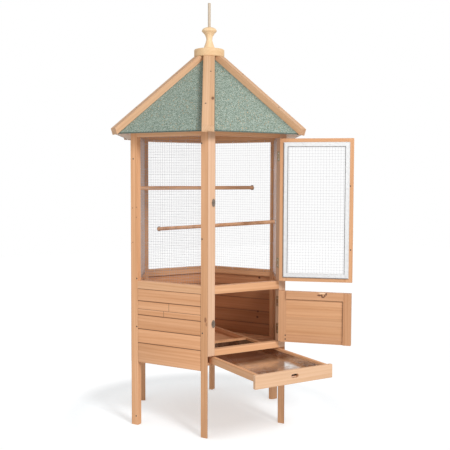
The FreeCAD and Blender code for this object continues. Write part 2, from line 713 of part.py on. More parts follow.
def hinge(name, middle, door_side):
    """One leaf of a butt hinge with its knuckles: two on the frame's leaf, one on the door's."""
    third = "(sizes.hinge_height / 3)"
    half = "(sizes.hinge_height / 2)"
    play = "sizes.hinge_play"
    edge = f"({HINGE_X} - sizes.door_gap / 2)" if door_side else f"({HINGE_X} + sizes.door_gap / 2)"
    face = f"({edge} + sizes.hinge_leaf)" if door_side else f"({edge} - sizes.hinge_leaf)"
    across = (edge, face) if door_side else (face, edge)
    clear = f"({HINGE_Y} + sizes.knuckle_radius + {play})"
    deep = f"({clear} + sizes.hinge_leaf_depth)"
    leaf = block(f"{name}_leaf", across, (clear, deep), (f"{middle} - {half}", f"{middle} + {half}"))
    if door_side:
        spans = [(f"({middle} - {third} / 2 + {play} / 2)", f"({third} - {play})")]
    else:
        spans = [(f"({middle} - {half})", third), (f"({middle} + {third} / 2)", third)]
    parts = [leaf]
    for i, (bottom, height) in enumerate(spans):
        tongue = block(
            f"{name}_tongue_{i}", across, (HINGE_Y, clear), (bottom, f"{bottom} + {height}")
        )
        parts.append(tongue)
        parts.append(
            rod(f"{name}_knuckle_{i}", "sizes.knuckle_radius", height, HINGE_X, HINGE_Y, bottom)
        )
    bore = rod(
        f"{name}_bore", "sizes.pin_radius + sizes.pin_play", "2 * sizes.hinge_height",
        HINGE_X, HINGE_Y, f"({middle} - sizes.hinge_height)",
    )
    return without(f"{name}_cut", joined(f"{name}_solid", parts), bore)


def hinge_pin(name, middle):
    """A pin with a round head that stands on the upper knuckle."""
    height = "sizes.hinge_height"
    shank = rod(
        f"{name}_shank", "sizes.pin_radius", height, HINGE_X, HINGE_Y, f"({middle} - {height} / 2)"
    )
    head = rod(
        f"{name}_head", "sizes.pin_head", "sizes.pin_head_height",
        HINGE_X, HINGE_Y, f"({middle} + {height} / 2)",
    )
    return joined(name, [shank, head])


def build_hinges():
    """Two butt hinges on each door."""
    doors = {"mesh_door": MESH_DOOR, "lower_door": LOWER_DOOR}
    frame_leaves, pins = [], []
    for door, (low, high) in doors.items():
        inset = f"sizes.{door}_hinge_inset"
        places = (f"({low} + {inset})", f"({high} - {inset})")
        leaves = []
        for end, middle in zip(("bottom", "top"), places):
            frame_leaves.append(hinge(f"{door}_{end}_frame_hinge", middle, False))
            leaves.append(hinge(f"{door}_{end}_hinge", middle, True))
            pins.append(hinge_pin(f"{door}_{end}_pin", middle))
        swung(node(f"{door}_hinge_leaves", leaves), f"sizes.{door}_angle")
    node("frame_hinge_leaves", frame_leaves)
    node("hinge_pins", pins)


def button_plate(name, height):
    """An oval metal plate that turns on a screw in the stile."""
    body = new_body(f"{name}_body")
    sketch = body.newObject("Sketcher::SketchObject", f"{name}_outline")
    sketch.AttachmentSupport = [(origin_plane(body, "XZ_Plane"), "")]
    sketch.MapMode = "FlatFace"
    oval = Part.Ellipse(
        FreeCAD.Vector(0, size("button_length") / 2, 0),
        FreeCAD.Vector(size("button_width") / 2, 0, 0), FreeCAD.Vector(0, 0, 0),
    )
    sketch.addGeometry(oval, False)
    sketch.addConstraint(Sketcher.Constraint("Coincident", 0, 3, -1, 1))
    sketch.addGeometry(Part.Circle(
        FreeCAD.Vector(0, 0, 0), FreeCAD.Vector(0, 0, 1), size("screw_radius")
    ), False)
    sketch.addConstraint(Sketcher.Constraint("Coincident", 1, 3, -1, 1))
    rule = sketch.addConstraint(Sketcher.Constraint("Radius", 1, size("screw_radius")))
    sketch.setExpression(f"Constraints[{rule}]", "sizes.screw_radius + sizes.screw_play")
    pad(body, f"{name}_pad", sketch, "sizes.button_thickness")
    return bind(body, {
        "Placement.Base.x": BUTTON_X, "Placement.Base.y": BUTTON_Y, "Placement.Base.z": height,
    })


def button_screw(name, height):
    """A screw with a round head that stands just off the plate, its shank on the wood."""
    body = turned(f"{name}_body", [
        ("0", "0"), ("sizes.screw_radius", "0"),
        ("sizes.screw_radius", "2 * sizes.button_play + sizes.button_thickness"),
        ("sizes.screw_head", "2 * sizes.button_play + sizes.button_thickness"),
        ("sizes.screw_crown",
         "2 * sizes.button_play + sizes.button_thickness + sizes.screw_head_height"),
        ("0", "2 * sizes.button_play + sizes.button_thickness + sizes.screw_head_height"),
    ])
    facing = FreeCAD.Rotation(FreeCAD.Vector(1, 0, 0), QUARTER_ANGLE)
    body.Placement = FreeCAD.Placement(FreeCAD.Vector(0, 0, 0), facing)
    return bind(body, {
        "Placement.Base.x": BUTTON_X, "Placement.Base.y": f"-{APOTHEM}", "Placement.Base.z": height,
    })


def build_buttons():
    """A turn button for each door, upright as when the door is free."""
    screws = []
    for name in ("upper", "lower"):
        height = f"sizes.{name}_button_height"
        node(f"{name}_turn_button", [button_plate(f"{name}_button", height)])
        screws.append(button_screw(f"{name}_screw", height))
    node("turn_button_screws", screws)


# Floor and drawer

def build_floor():
    """Planks on bearers, with a guide on each side of the drawer."""
    space = doc.addObject("Part::Prism", "inside_frame")
    space.Polygon = len(PANELS)
    bind(space, {
        "Circumradius": f"{INNER} / cos({HALF_ANGLE})", "Height": SILL_TOP,
    })
    planks = []
    bottom = "(sizes.floor_top - sizes.floor_thickness)"
    for i in range(PLANKS):
        low = f"(-{INNER} + 2 * {INNER} * {i} / {PLANKS})"
        high = f"(-{INNER} + 2 * {INNER} * {i + 1} / {PLANKS})"
        plank = block(
            f"plank_{i + 1}", ("-sizes.corner_radius", "sizes.corner_radius"), (low, high),
            (bottom, "sizes.floor_top"),
        )
        planks.append(shared(f"floor_plank_{i + 1}", [plank, space]))
    node("floor_planks", planks)
    half = f"({HALF_OPENING} - sizes.bearer_end)"
    bearer = block(
        "bearer", (minus(half), half), (BOARD_BACK, f"{BOARD_BACK} + sizes.bearer_depth"),
        (f"{bottom} - sizes.bearer_height", bottom),
    )
    node("floor_bearers", [
        group(f"bearer_{panel}", [bearer], panel_angle(panel)) for panel in CLOSED
    ])
    near = f"({DRAWER_HALF} + sizes.guide_play)"
    far = f"({near} + sizes.guide_width)"
    reach = f"({INNER} - sizes.guide_gap)"
    along = (minus(reach), reach)
    up = ("sizes.floor_top", "sizes.floor_top + sizes.guide_height")
    node("drawer_guides", [
        block("guide_left", (minus(far), minus(near)), along, up),
        block("guide_right", (near, far), along, up),
    ])


def drawer_front():
    """The drawer front with its finger slot."""
    body = new_body("drawer_front_body")
    half = f"({HALF_SIDE} - sizes.drawer_front_inset)"
    low = f"({DRAWER_FRONT_TOP} - sizes.drawer_front_height)"
    face = outline(body, "drawer_front_outline", "XZ_Plane", [
        (minus(half), low), (half, low), (half, DRAWER_FRONT_TOP), (minus(half), DRAWER_FRONT_TOP),
    ])
    pad(body, "drawer_front_pad", face, "sizes.drawer_front_depth")
    slot = body.newObject("Sketcher::SketchObject", "finger_slot")
    slot.AttachmentSupport = [(origin_plane(body, "XZ_Plane"), "")]
    slot.MapMode = "FlatFace"
    reach = (size("slot_width") - size("slot_height")) / 2
    height = size("slot_height") / 2
    top = size("floor_top") + size("drawer_opening") - size("drawer_front_gap")
    middle = top - size("slot_drop")
    up = FreeCAD.Vector(0, 0, 1)
    ends = [FreeCAD.Vector(reach, middle, 0), FreeCAD.Vector(-reach, middle, 0)]
    rise = FreeCAD.Vector(0, height, 0)
    quarter = math.pi / 2
    slot.addGeometry(Part.ArcOfCircle(Part.Circle(ends[0], up, height), -quarter, quarter), False)
    slot.addGeometry(Part.LineSegment(ends[0] + rise, ends[1] + rise), False)
    slot.addGeometry(
        Part.ArcOfCircle(Part.Circle(ends[1], up, height), quarter, 3 * quarter), False
    )
    slot.addGeometry(Part.LineSegment(ends[1] - rise, ends[0] - rise), False)
    for first, end, second, start in ((0, 2, 1, 1), (1, 2, 2, 1), (2, 2, 3, 1), (3, 2, 0, 1)):
        slot.addConstraint(Sketcher.Constraint("Tangent", first, end, second, start))
    slot.addConstraint(Sketcher.Constraint("Horizontal", 1))
    rules = {
        slot.addConstraint(Sketcher.Constraint("Radius", 0, height)): "sizes.slot_height / 2",
        slot.addConstraint(Sketcher.Constraint("DistanceX", -1, 1, 0, 3, reach)):
            "(sizes.slot_width - sizes.slot_height) / 2",
        slot.addConstraint(Sketcher.Constraint("DistanceX", 2, 3, 0, 3, 2 * reach)):
            "sizes.slot_width - sizes.slot_height",
        slot.addConstraint(Sketcher.Constraint("DistanceY", -1, 1, 0, 3, middle)):
            f"{DRAWER_FRONT_TOP} - sizes.slot_drop",
    }
    for rule, expression in rules.items():
        slot.setExpression(f"Constraints[{rule}]", expression)
    doc.recompute()
    cut = body.newObject("PartDesign::Pocket", "finger_slot_cut")
    cut.Profile = slot
    cut.Type = "ThroughAll"
    cut.Midplane = True
    body.Tip = cut
    body.setExpression("Placement.Base.y", f"-{APOTHEM} + sizes.drawer_front_depth")
    return body


def build_drawer():
    """A shallow wooden drawer with a metal tray in it, pulled out as drawn."""
    half = DRAWER_HALF
    inside = f"({half} - sizes.drawer_side_depth)"
    front = f"(-{APOTHEM} + sizes.drawer_front_depth)"
    back = f"({INNER} - sizes.drawer_back_gap)"
    rear = f"({back} - sizes.drawer_side_depth)"
    up = (DRAWER_BOTTOM, f"{FRONT_RAIL_BOTTOM} - sizes.drawer_head_gap")
    walls = [
        block("drawer_left", (minus(half), minus(inside)), (front, back), up),
        block("drawer_right", (inside, half), (front, back), up),
        block("drawer_rear", (minus(inside), inside), (rear, back), up),
    ]
    board = (DRAWER_BOTTOM, f"{DRAWER_BOTTOM} + sizes.drawer_bottom")
    bottom = block("drawer_floor", (minus(inside), inside), (front, rear), board)
    play = "sizes.tray_play"
    thick = "sizes.tray_sheet"
    out = f"({inside} - {play})"
    ahead = f"({front} + {play})"
    behind = f"({rear} - {play})"
    base = f"({DRAWER_BOTTOM} + sizes.drawer_bottom)"
    pan = block("tray_pan", (minus(out), out), (ahead, behind), (base, f"{base} + sizes.tray_rim"))
    hollow = block(
        "tray_hollow", (f"-{out} + {thick}", f"{out} - {thick}"),
        (f"{ahead} + {thick}", f"{behind} - {thick}"),
        (f"{base} + {thick}", f"{base} + 2 * sizes.tray_rim"),
    )
    parts = {
        "drawer_front": [drawer_front()],
        "drawer_walls": walls,
        "drawer_bottom": [bottom],
        "drawer_tray": [without("tray_sheet_metal", pan, hollow)],
    }
    for name, pieces in parts.items():
        node(name, pieces).setExpression("Placement.Base.y", "-sizes.drawer_pull")


def check():
    """Stops if an object failed or a sub-part has no valid solid."""
    for piece in doc.Objects:
        if "Invalid" in piece.State or "Error" in piece.State:
            raise RuntimeError(f"{piece.Name} failed: {piece.State}")
    for piece in nodes:
        if piece.Shape.isNull() or not piece.Shape.isValid() or not piece.Shape.Solids:
            raise RuntimeError(f"{piece.Label} has no valid solid")


def main():
    """Builds the aviary and writes one file for each sub-part."""
    build_panels()
    build_roof()
    build_top()
    build_perches()
    build_mesh_door()
    build_lower_door()
    build_hinges()
    build_buttons()
    build_floor()
    build_drawer()
    doc.recompute()
    check()
    os.makedirs("parts", exist_ok=True)
    for piece in nodes:
        piece.Shape.exportStep(f"parts/{piece.Label}.step")
    print(len(nodes), "sub-parts")


main()
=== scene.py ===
"""The looks of a hexagonal wooden aviary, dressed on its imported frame.

Metres, +Z up, the door panel to -Y.
"""
import json
import math

import bmesh
import bpy
from mathutils import Matrix, Vector


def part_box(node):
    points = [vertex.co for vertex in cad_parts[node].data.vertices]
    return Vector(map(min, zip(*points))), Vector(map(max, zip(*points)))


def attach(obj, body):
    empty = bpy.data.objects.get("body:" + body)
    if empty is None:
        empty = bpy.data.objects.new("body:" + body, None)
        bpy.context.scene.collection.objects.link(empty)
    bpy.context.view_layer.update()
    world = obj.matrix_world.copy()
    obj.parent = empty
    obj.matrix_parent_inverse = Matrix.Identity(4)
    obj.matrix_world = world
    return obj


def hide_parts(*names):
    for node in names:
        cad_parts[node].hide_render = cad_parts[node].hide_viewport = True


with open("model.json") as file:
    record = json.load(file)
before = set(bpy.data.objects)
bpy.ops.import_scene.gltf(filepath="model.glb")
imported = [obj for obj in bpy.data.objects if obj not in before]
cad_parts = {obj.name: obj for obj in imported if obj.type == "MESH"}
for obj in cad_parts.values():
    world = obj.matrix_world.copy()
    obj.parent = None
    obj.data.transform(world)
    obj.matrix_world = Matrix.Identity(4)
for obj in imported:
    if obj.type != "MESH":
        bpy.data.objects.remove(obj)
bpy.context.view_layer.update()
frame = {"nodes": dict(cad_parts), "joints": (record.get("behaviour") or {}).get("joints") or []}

MM = 0.001


def mm(*values):
    """Millimetres as metres."""
    return tuple(value * MM for value in values)


def all_mm(*rows):
    """Rows of millimetres as metres."""
    return [mm(*row) for row in rows]


def heights(node):
    """The lowest and the highest level of a node."""
    low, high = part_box(node)
    return low.z, high.z


# Sizes and places

# The panels in turn about Z
PANELS = ("front", "right_front", "right_back", "back", "left_back", "left_front")
CLOSED = PANELS[1:]
DEGREES = 60
TURN = math.radians(DEGREES)
HALF_TURN = TURN / 2
# Turns from the front panel, as the panel fold counts them
LEFT_FRONT, RIGHT_BACK = -1, 2
# Directions about Z of the middle of the front panel and of the hip to its right
PANEL_MIDDLE = -math.pi / 2
HIP_MIDDLE = PANEL_MIDDLE + HALF_TURN
OUTWARDS, INWARDS = (0, -1, 0), (0, 1, 0)

# The front panel, and the levels of the closed ones
rails_low, rails_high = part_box("front_rails")
FACE, INNER, HALF_OPENING = -rails_low.y, -rails_high.y, rails_high.x
MITRE = FACE * math.tan(HALF_TURN)
MESH_LOW, MESH_HIGH = heights("left_front_mesh")
BOARDS_BOTTOM, SILL_BOTTOM = heights("left_front_boards")
BOARDS = 3
BOARD_HEIGHT = 51 * MM
TOP_BOARD = 44 * MM
BOARD_SEAMS = [SILL_BOTTOM - TOP_BOARD - i * BOARD_HEIGHT for i in range(BOARDS, -1, -1)]
BOARD_FACE = 16 * MM - FACE
BACK_OF_BOARDS = 8 * MM - FACE

# The roof
EAVE = heights("roof_felt_front")[0]
CAP_LOW, CAP_HIGH = heights("cap_disc")
CAP_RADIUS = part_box("cap_disc")[1].x
ROOF_PITCH = math.radians(43.9)
HIP_SLOPE = math.atan(math.tan(ROOF_PITCH) * math.cos(HALF_TURN))
HALF_BATTEN = 21 * MM

# The welded mesh: the scene's round wires, and the frame's square ones that they stand for
WIRE = 0.5 * MM
WIRE_PITCH = 10 * MM
WIRE_SIDES = 6
SQUARE_WIRE = 1 * MM
MESH_LAP = 8 * MM

# The doors, as they are when closed
DOOR_DEPTH = 20 * MM
DOOR_GAP = 4 * MM
DOOR_MEMBER = 28 * MM
DOOR_HALF = HALF_OPENING - DOOR_GAP
DOOR_INNER = DOOR_HALF - DOOR_MEMBER
DOOR_BACK = DOOR_DEPTH - FACE
MESH_DOOR_LOW, MESH_DOOR_HIGH = heights("mesh_door_rails")
LOWER_DOOR_HIGH = heights("lower_door_frame")[1]
DOOR_BOARDS = 4
DOOR_BOARDS_LOW, DOOR_BOARDS_HIGH = heights("lower_door_boards")
DOOR_BOARD_HEIGHT = (DOOR_BOARDS_HIGH - DOOR_BOARDS_LOW) / DOOR_BOARDS
DOOR_BOARD_ENDS = [DOOR_BOARDS_LOW + i * DOOR_BOARD_HEIGHT for i in range(DOOR_BOARDS + 1)]
# The metal edging of the mesh door
EDGING_INSET = 13.5 * MM
EDGING_WIDTH = 17 * MM

JOINTS = {joint["name"]: joint for joint in frame["joints"]}


def swing(door):
    """Takes a place on the closed door to where the door stands."""
    joint = JOINTS[f"{door}_hinge"]
    pin = Matrix.Translation(joint["pos_m"])
    return pin @ Matrix.Rotation(math.radians(-joint["range_deg"][0]), 4, "Z") @ pin.inverted()


SWING = {door: swing(door) for door in ("mesh_door", "lower_door")}
# Each takes a place on the front panel to the same place on another one
PANEL_TURN = {
    panel: Matrix.Rotation(math.radians(DEGREES * i), 4, "Z") for i, panel in enumerate(PANELS)
}
CLOSED_TURNS = [PANEL_TURN[panel] for panel in CLOSED]


# Node trees

def feed(sockets, values):
    """Links sockets to others, or sets their values. A colour of three numbers is opaque."""
    for key, value in values.items():
        socket = sockets[key]
        if isinstance(value, bpy.types.NodeSocket):
            socket.id_data.links.new(value, socket)
        else:
            opaque = socket.type == "RGBA" and len(value) == 3
            socket.default_value = (*value, 1) if opaque else value


def put(kind, inputs, tree=None, **settings):
    """Adds a node, to the tree that feeds it if none is named."""
    fed_by = (value.id_data for value in inputs.values() if isinstance(value, bpy.types.NodeSocket))
    node = (tree or next(fed_by)).nodes.new(kind)
    for name, value in settings.items():
        setattr(node, name, value)
    feed(node.inputs, inputs)
    return node


def use(group, inputs):
    """Places a node group and gives its outputs."""
    return put("ShaderNodeGroup", inputs, node_tree=group).outputs


def calc(operation, *values, clamp=False):
    """The result of a Math node."""
    inputs = dict(enumerate(values))
    return put("ShaderNodeMath", inputs, operation=operation, use_clamp=clamp).outputs[0]


def times(first, *others):
    """The product of several numbers."""
    for other in others:
        first = calc("MULTIPLY", first, other)
    return first


def vector_calc(operation, *values):
    """The result of a Vector Math node."""
    keys = (0, "Scale") if operation == "SCALE" else (0, 1)
    node = put("ShaderNodeVectorMath", dict(zip(keys, values)), operation=operation)
    return node.outputs["Value" if operation == "LENGTH" else "Vector"]


def axes(vector):
    """The numbers X, Y and Z of a vector."""
    return put("ShaderNodeSeparateXYZ", {"Vector": vector}).outputs


def vector_of(**numbers):
    """The vector of the numbers X, Y and Z."""
    return put("ShaderNodeCombineXYZ", numbers).outputs[0]


def fade(value, low, high, to_low=0.0, to_high=1.0):
    """A smooth change from one value to another as the input rises."""
    inputs = {"Value": value, "From Min": low, "From Max": high, "To Min": to_low, "To Max": to_high}
    return put("ShaderNodeMapRange", inputs, interpolation_type="SMOOTHSTEP").outputs["Result"]


def blend(share, first, second, mode="MIX"):
    """A mix of two colours."""
    inputs = {0: share, 6: first, 7: second}
    return put("ShaderNodeMix", inputs, data_type="RGBA", blend_type=mode).outputs[2]


def noise(vector, often, detail=2.0, roughness=0.5):
    """Noise that changes so often in a metre along each axis."""
    return put("ShaderNodeTexNoise", {
        "Vector": vector_calc("MULTIPLY", vector, often), "Scale": 1.0, "Detail": detail,
        "Roughness": roughness,
    }).outputs


def crystals(place):
    """Cells a unit wide: how far a point is from its cell's middle, and three chances for the cell."""
    cells = put("ShaderNodeTexVoronoi", {"Vector": place, "Scale": 1.0}).outputs
    chance = put("ShaderNodeSeparateColor", {"Color": cells["Color"]}).outputs
    return cells["Distance"], chance


def mapped(place, matrix):
    """A place seen from another frame."""
    return put("ShaderNodeMapping", {
        "Vector": place, "Location": matrix.to_translation(), "Rotation": matrix.to_euler(),
    }).outputs["Vector"]


def new_group(name, inputs, outputs, kind="ShaderNodeTree"):
    """An empty node group with sockets named by sort: the tree, what comes in and what goes out."""
    tree = bpy.data.node_groups.new(name, kind)
    for way, sorts in (("INPUT", inputs), ("OUTPUT", outputs)):
        for sort, names in sorts.items():
            for label in names:
                made = tree.interface.new_socket(label, in_out=way, socket_type="NodeSocket" + sort)
                if isinstance(names, dict):
                    made.default_value = names[label]
    return tree, tree.nodes.new("NodeGroupInput").outputs, tree.nodes.new("NodeGroupOutput").inputs


# What every finish puts out
FINISH = {"Color": ["Color"], "Float": ["Roughness", "Height"]}
# How often grain, streaks, fibres and knots change in a metre, along the board and across it
GRAIN_WAVE, STREAKS, FIBRES, KNOT_CELLS = (1.7, 11, 11), (1.3, 55, 55), (22, 800, 800), (13, 24, 24)
KNOT_CORE = (0.13, 0.05, 0.022)
# The same for patches in the felt, wear on the zinc and the outline of a stain
FELT_PATCHES, ZINC_WEAR, STAIN_OUTLINE = (230,) * 3, (90,) * 3, (180,) * 3


def fold_group():
    """Turns a place about Z by whole panels, back to the front one, and says by how many."""
    tree, given, made = new_group(
        "panel fold", {"Vector": ["Vector"], "Float": ["Middle"]},
        {"Vector": ["Vector"], "Float": ["Turns"]},
    )
    parts = axes(given["Vector"])
    angle = calc("SUBTRACT", calc("ARCTAN2", parts["Y"], parts["X"]), given["Middle"])
    turns = calc("FLOOR", calc("ADD", calc("DIVIDE", angle, TURN), 0.5))
    from_front = calc("ADD", times(turns, TURN), given["Middle"])
    spin = put("ShaderNodeVectorRotate", {
        "Vector": given["Vector"], "Angle": calc("SUBTRACT", PANEL_MIDDLE, from_front),
    }, rotation_type="Z_AXIS")
    feed(made, {"Vector": spin.outputs["Vector"], "Turns": turns})
    return tree


def piece_group():
    """Three chances for each piece of timber, told apart by where it lies."""
    tree, given, made = new_group(
        "timber piece", {"Vector": ["Vector", "Start", "Cell"], "Float": ["Seed"]},
        {"Vector": ["Piece"]},
    )
    place = vector_calc("SUBTRACT", given["Vector"], given["Start"])
    cell = vector_calc("FLOOR", vector_calc("DIVIDE", place, given["Cell"]))
    # All that lies below the first cell is one piece
    cell = vector_calc("MAXIMUM", cell, (-1, -1, -1))
    seed = vector_calc("ADD", cell, vector_of(X=given["Seed"], Y=0.37, Z=0.61))
    chance = put("ShaderNodeTexWhiteNoise", {"Vector": seed}, noise_dimensions="3D")
    feed(made, {"Piece": chance.outputs["Color"]})
    return tree


def timber_group():
    """Planed softwood with its grain along X: growth lines, streaks, fibre and knots."""
    tree, given, made = new_group("planed timber", {
        "Vector": ["Vector", "Piece"], "Color": ["Pale", "Deep"],
        "Float": {"Ring": 0.009, "Figure": 2.5, "Knots": 0.02, "Tone": 0.12},
    }, FINISH)
    place = vector_calc("ADD", given["Vector"], vector_calc("SCALE", given["Piece"], 5.3))

    # Growth lines, each darkest towards its end, with streaks and fibres between them
    parts = axes(place)
    across = calc("ADD", parts["Y"], times(parts["Z"], 0.8))
    wave = times(noise(place, GRAIN_WAVE)["Fac"], given["Figure"])
    line = calc("FRACT", calc("ADD", calc("DIVIDE", across, given["Ring"]), wave))
    late = times(fade(line, 0.3, 0.9), fade(line, 1.0, 0.92))
    fibre = noise(place, FIBRES, 3.0, 0.65)["Fac"]
    streak = noise(place, STREAKS, 2.0, 0.6)["Fac"]
    share = calc("ADD", times(late, 0.28), fade(streak, 0.3, 0.75, 0.0, 0.75))
    share = calc("ADD", share, fade(fibre, 0.35, 0.7, -0.06, 0.1), clamp=True)
    colour = blend(share, given["Pale"], given["Deep"])

    # Each piece a little lighter or darker, and a little warmer
    chance = axes(given["Piece"])
    tone = calc("ADD", 1.0, times(calc("SUBTRACT", chance["X"], 0.5), given["Tone"]))
    colour = blend(1.0, colour, vector_of(X=tone, Y=tone, Z=tone), "MULTIPLY")
    warm = blend(times(chance["Y"], 0.5), (1, 1, 1), (1.0, 0.93, 0.86))
    colour = blend(1.0, colour, warm, "MULTIPLY")

    # Knots, a dark core in a deeper halo
    from_knot, pick = crystals(vector_calc("MULTIPLY", place, KNOT_CELLS))
    rare = calc("LESS_THAN", pick[0], given["Knots"])
    core = times(fade(from_knot, 0.15, 0.09), rare)
    halo = times(fade(from_knot, 0.34, 0.14), rare)
    colour = blend(times(halo, 0.45), colour, given["Deep"])
    colour = blend(times(core, 0.85), colour, KNOT_CORE)

    height = calc("SUBTRACT", times(fibre, 0.5), times(late, 0.35))
    feed(made, {
        "Color": colour, "Roughness": fade(fibre, 0.3, 0.7, 0.5, 0.68),
        "Height": calc("SUBTRACT", height, times(core, 0.3)),
    })
    return tree


def granule_group():
    """Stone granules of several colours on roofing felt, a few of them bright."""
    tree, given, made = new_group("mineral granules", {
        "Vector": ["Vector"], "Color": ["Dark", "Main", "Light", "Fleck"], "Float": ["Size"],
    }, FINISH)
    place = vector_calc("SCALE", given["Vector"], calc("DIVIDE", 1.0, given["Size"]))
    from_stone, chance = crystals(place)
    patch = noise(given["Vector"], FELT_PATCHES, 3.0, 0.7)["Fac"]
    pick = calc("ADD", chance[0], fade(patch, 0.25, 0.75, -0.28, 0.28))
    colour = blend(fade(pick, 0.1, 0.42), given["Dark"], given["Main"])
    colour = blend(fade(pick, 0.6, 0.95), colour, given["Light"])
    colour = blend(calc("GREATER_THAN", chance[1], 0.99), colour, given["Fleck"])
    feed(made, {
        "Color": colour, "Roughness": fade(chance[2], 0.0, 1.0, 0.75, 0.97),
        "Height": fade(from_stone, 0.75, 0.1),
    })
    return tree


def zinc_group():
    """Zinc on steel: crystals of slightly different brightness, and fine wear."""
    tree, given, made = new_group("zinc coat", {
        "Vector": ["Vector"], "Color": ["Bright", "Dull"],
        "Float": ["Crystal", "Smoothest", "Spread"],
    }, FINISH)
    place = vector_calc("SCALE", given["Vector"], calc("DIVIDE", 1.0, given["Crystal"]))
    chance = crystals(place)[1]
    wear = noise(given["Vector"], ZINC_WEAR, 4.0, 0.65)["Fac"]
    share = calc("ADD", times(chance[0], 0.6), fade(wear, 0.35, 0.75, 0, 0.4))
    rough = calc("ADD", given["Smoothest"], times(chance[1], given["Spread"]))
    feed(made, {
        "Color": blend(share, given["Bright"], given["Dull"]), "Roughness": rough,
        "Height": times(wear, 0.5),
    })
    return tree


FOLD = fold_group()
PIECE = piece_group()
TIMBER = timber_group()
GRANULES = granule_group()
ZINC = zinc_group()


# Materials

def new_material(name):
    """A material with a Principled shader: the material, the shader and the object's places."""
    material = bpy.data.materials.new(name)
    material.use_nodes = True
    tree = material.node_tree
    place = tree.nodes.new("ShaderNodeTexCoord").outputs["Object"]
    return material, tree.nodes["Principled BSDF"], place


def give_finish(shader, colour, made, relief, strength, even):
    """Feeds a shader its colour, roughness and relief, and what is even all over."""
    bump = put("ShaderNodeBump", {"Height": made["Height"], "Distance": relief, "Strength": strength})
    feed(shader.inputs, {
        "Base Color": colour, "Roughness": made["Roughness"], "Normal": bump.outputs["Normal"], **even,
    })


JOINT_SHADE = (0.16, 0.07, 0.035)
DARK_KNOT = (0.10, 0.035, 0.018)
INDOOR_SHADE = (0.60, 0.50, 0.44)
# Turns that bring the grain of a piece to X
GRAIN = {
    "x": Matrix.Identity(4),
    "y": Matrix.Rotation(-math.pi / 2, 4, "Z"),
    "z": Matrix.Rotation(math.pi / 2, 4, "Y"),
    "hip": Matrix.Rotation(-math.pi / 2, 4, "Z") @ Matrix.Rotation(-HIP_SLOPE, 4, "X"),
}
# The pale and the deep colour of each wood
WOOD = {
    "fir": ((0.755, 0.43, 0.24), (0.60, 0.30, 0.14)),
    # Fir painted paler for the lit front stiles
    "painted lit fir": ((0.685, 0.45, 0.307), (0.585, 0.36, 0.225)),
    "board fir": ((0.765, 0.415, 0.225), (0.60, 0.285, 0.13)),
    "batten fir": ((0.655, 0.41, 0.245), (0.52, 0.29, 0.148)),
    "drawer fir": ((0.80, 0.52, 0.335), (0.66, 0.39, 0.22)),
    "door fir": ((0.67, 0.37, 0.20), (0.53, 0.26, 0.12)),
    "lower door fir": ((0.605, 0.325, 0.175), (0.475, 0.225, 0.105)),
    "shaded fir": ((0.72, 0.42, 0.25), (0.52, 0.26, 0.13)),
    "dowel": ((0.72, 0.42, 0.25), (0.50, 0.25, 0.13)),
    "bare rod": ((0.56, 0.475, 0.38), (0.46, 0.37, 0.28)),
    "pale ply": ((0.95, 0.84, 0.74), (0.88, 0.72, 0.58)),
    "cap pine": ((0.75, 0.53, 0.31), (0.67, 0.43, 0.23)),
    "finial pine": ((0.87, 0.66, 0.42), (0.78, 0.54, 0.31)),
}
CLEAR = {"Knots": 0.0}
# A length that holds the whole cage
ROOM = 9
# Axis, start and width of a cut between pieces of timber: none, and one between left and right
UNCUT, LEFT_RIGHT = (0, -ROOM / 2, ROOM), (0, 0, 0.3)


def wood(name, sort, grain, seed, cut=UNCUT, middle=None, place=None, marks=(), lines=(), seams=(),
         upright=None, dim=None, **look):
    """Planed wood, its grain turned with the piece and its tone changed from piece to piece.

    cut tells the pieces apart. marks are stains, lines are short joints on one panel, and seams are
    joints that run right through, with painted shade in them. Beyond upright to either side the grain
    stands up, and behind the depth dim the wood is in painted shade.
    """
    material, shader, at = new_material(name)
    turns = None
    if middle is not None:
        folded = use(FOLD, {"Vector": at, "Middle": middle})
        at, turns = folded["Vector"], folded["Turns"]
        seed = calc("ADD", times(turns, 1.37), seed)
    elif place is not None:
        at = mapped(at, place.inverted())
    apart = axes(at)
    axis, first, width = cut
    start, cell = [-ROOM / 2] * 3, [ROOM] * 3
    start[axis], cell[axis] = first, width
    piece = use(PIECE, {"Vector": at, "Start": start, "Cell": cell, "Seed": seed})["Piece"]
    along = mapped(at, GRAIN[grain])
    if upright is not None:
        beyond = calc("GREATER_THAN", calc("ABSOLUTE", apart["X"]), upright)
        choice = {0: beyond, 4: along, 5: mapped(at, GRAIN["z"])}
        along = put("ShaderNodeMix", choice, data_type="VECTOR").outputs[1]
    pale, deep = WOOD[sort]
    made = use(TIMBER, {"Vector": along, "Piece": piece, "Pale": pale, "Deep": deep, **look})
    colour = made["Color"]
    if dim is not None:
        colour = shaded(colour, apart, turns, dim)
    for mark in marks:
        colour = stained(colour, at, turns, *mark)
    for line in lines:
        colour = jointed(colour, at, turns, *line)
    for seam in seams:
        colour = seamed(colour, apart, *seam)
    give_finish(shader, colour, made, 0.5 * MM, 0.6, {"Specular IOR Level": 0.35})
    return material


def on_panel(turns, turn):
    """1 on the panel that is so many turns from the front, and 0 on the others."""
    return calc("COMPARE", turns, turn, 0.5)


def from_middle(at, centre, reach):
    """How far a place is from a centre, as a share of the reach along each axis."""
    return vector_calc("DIVIDE", vector_calc("SUBTRACT", at, centre), reach)


def shaded(colour, apart, turns, depth):
    """Wood in the shade of the inside, less on the upper boards and on the back and left back panels."""
    behind = fade(apart["Y"], depth - 2 * MM, depth + 2 * MM)
    below = fade(apart["Z"], 0.42, 0.52, 1.0, 0.6)
    near = fade(turns, 2.4, 2.6, 1.0, 0.35)
    return blend(times(behind, below, near), colour, INDOOR_SHADE, "MULTIPLY")


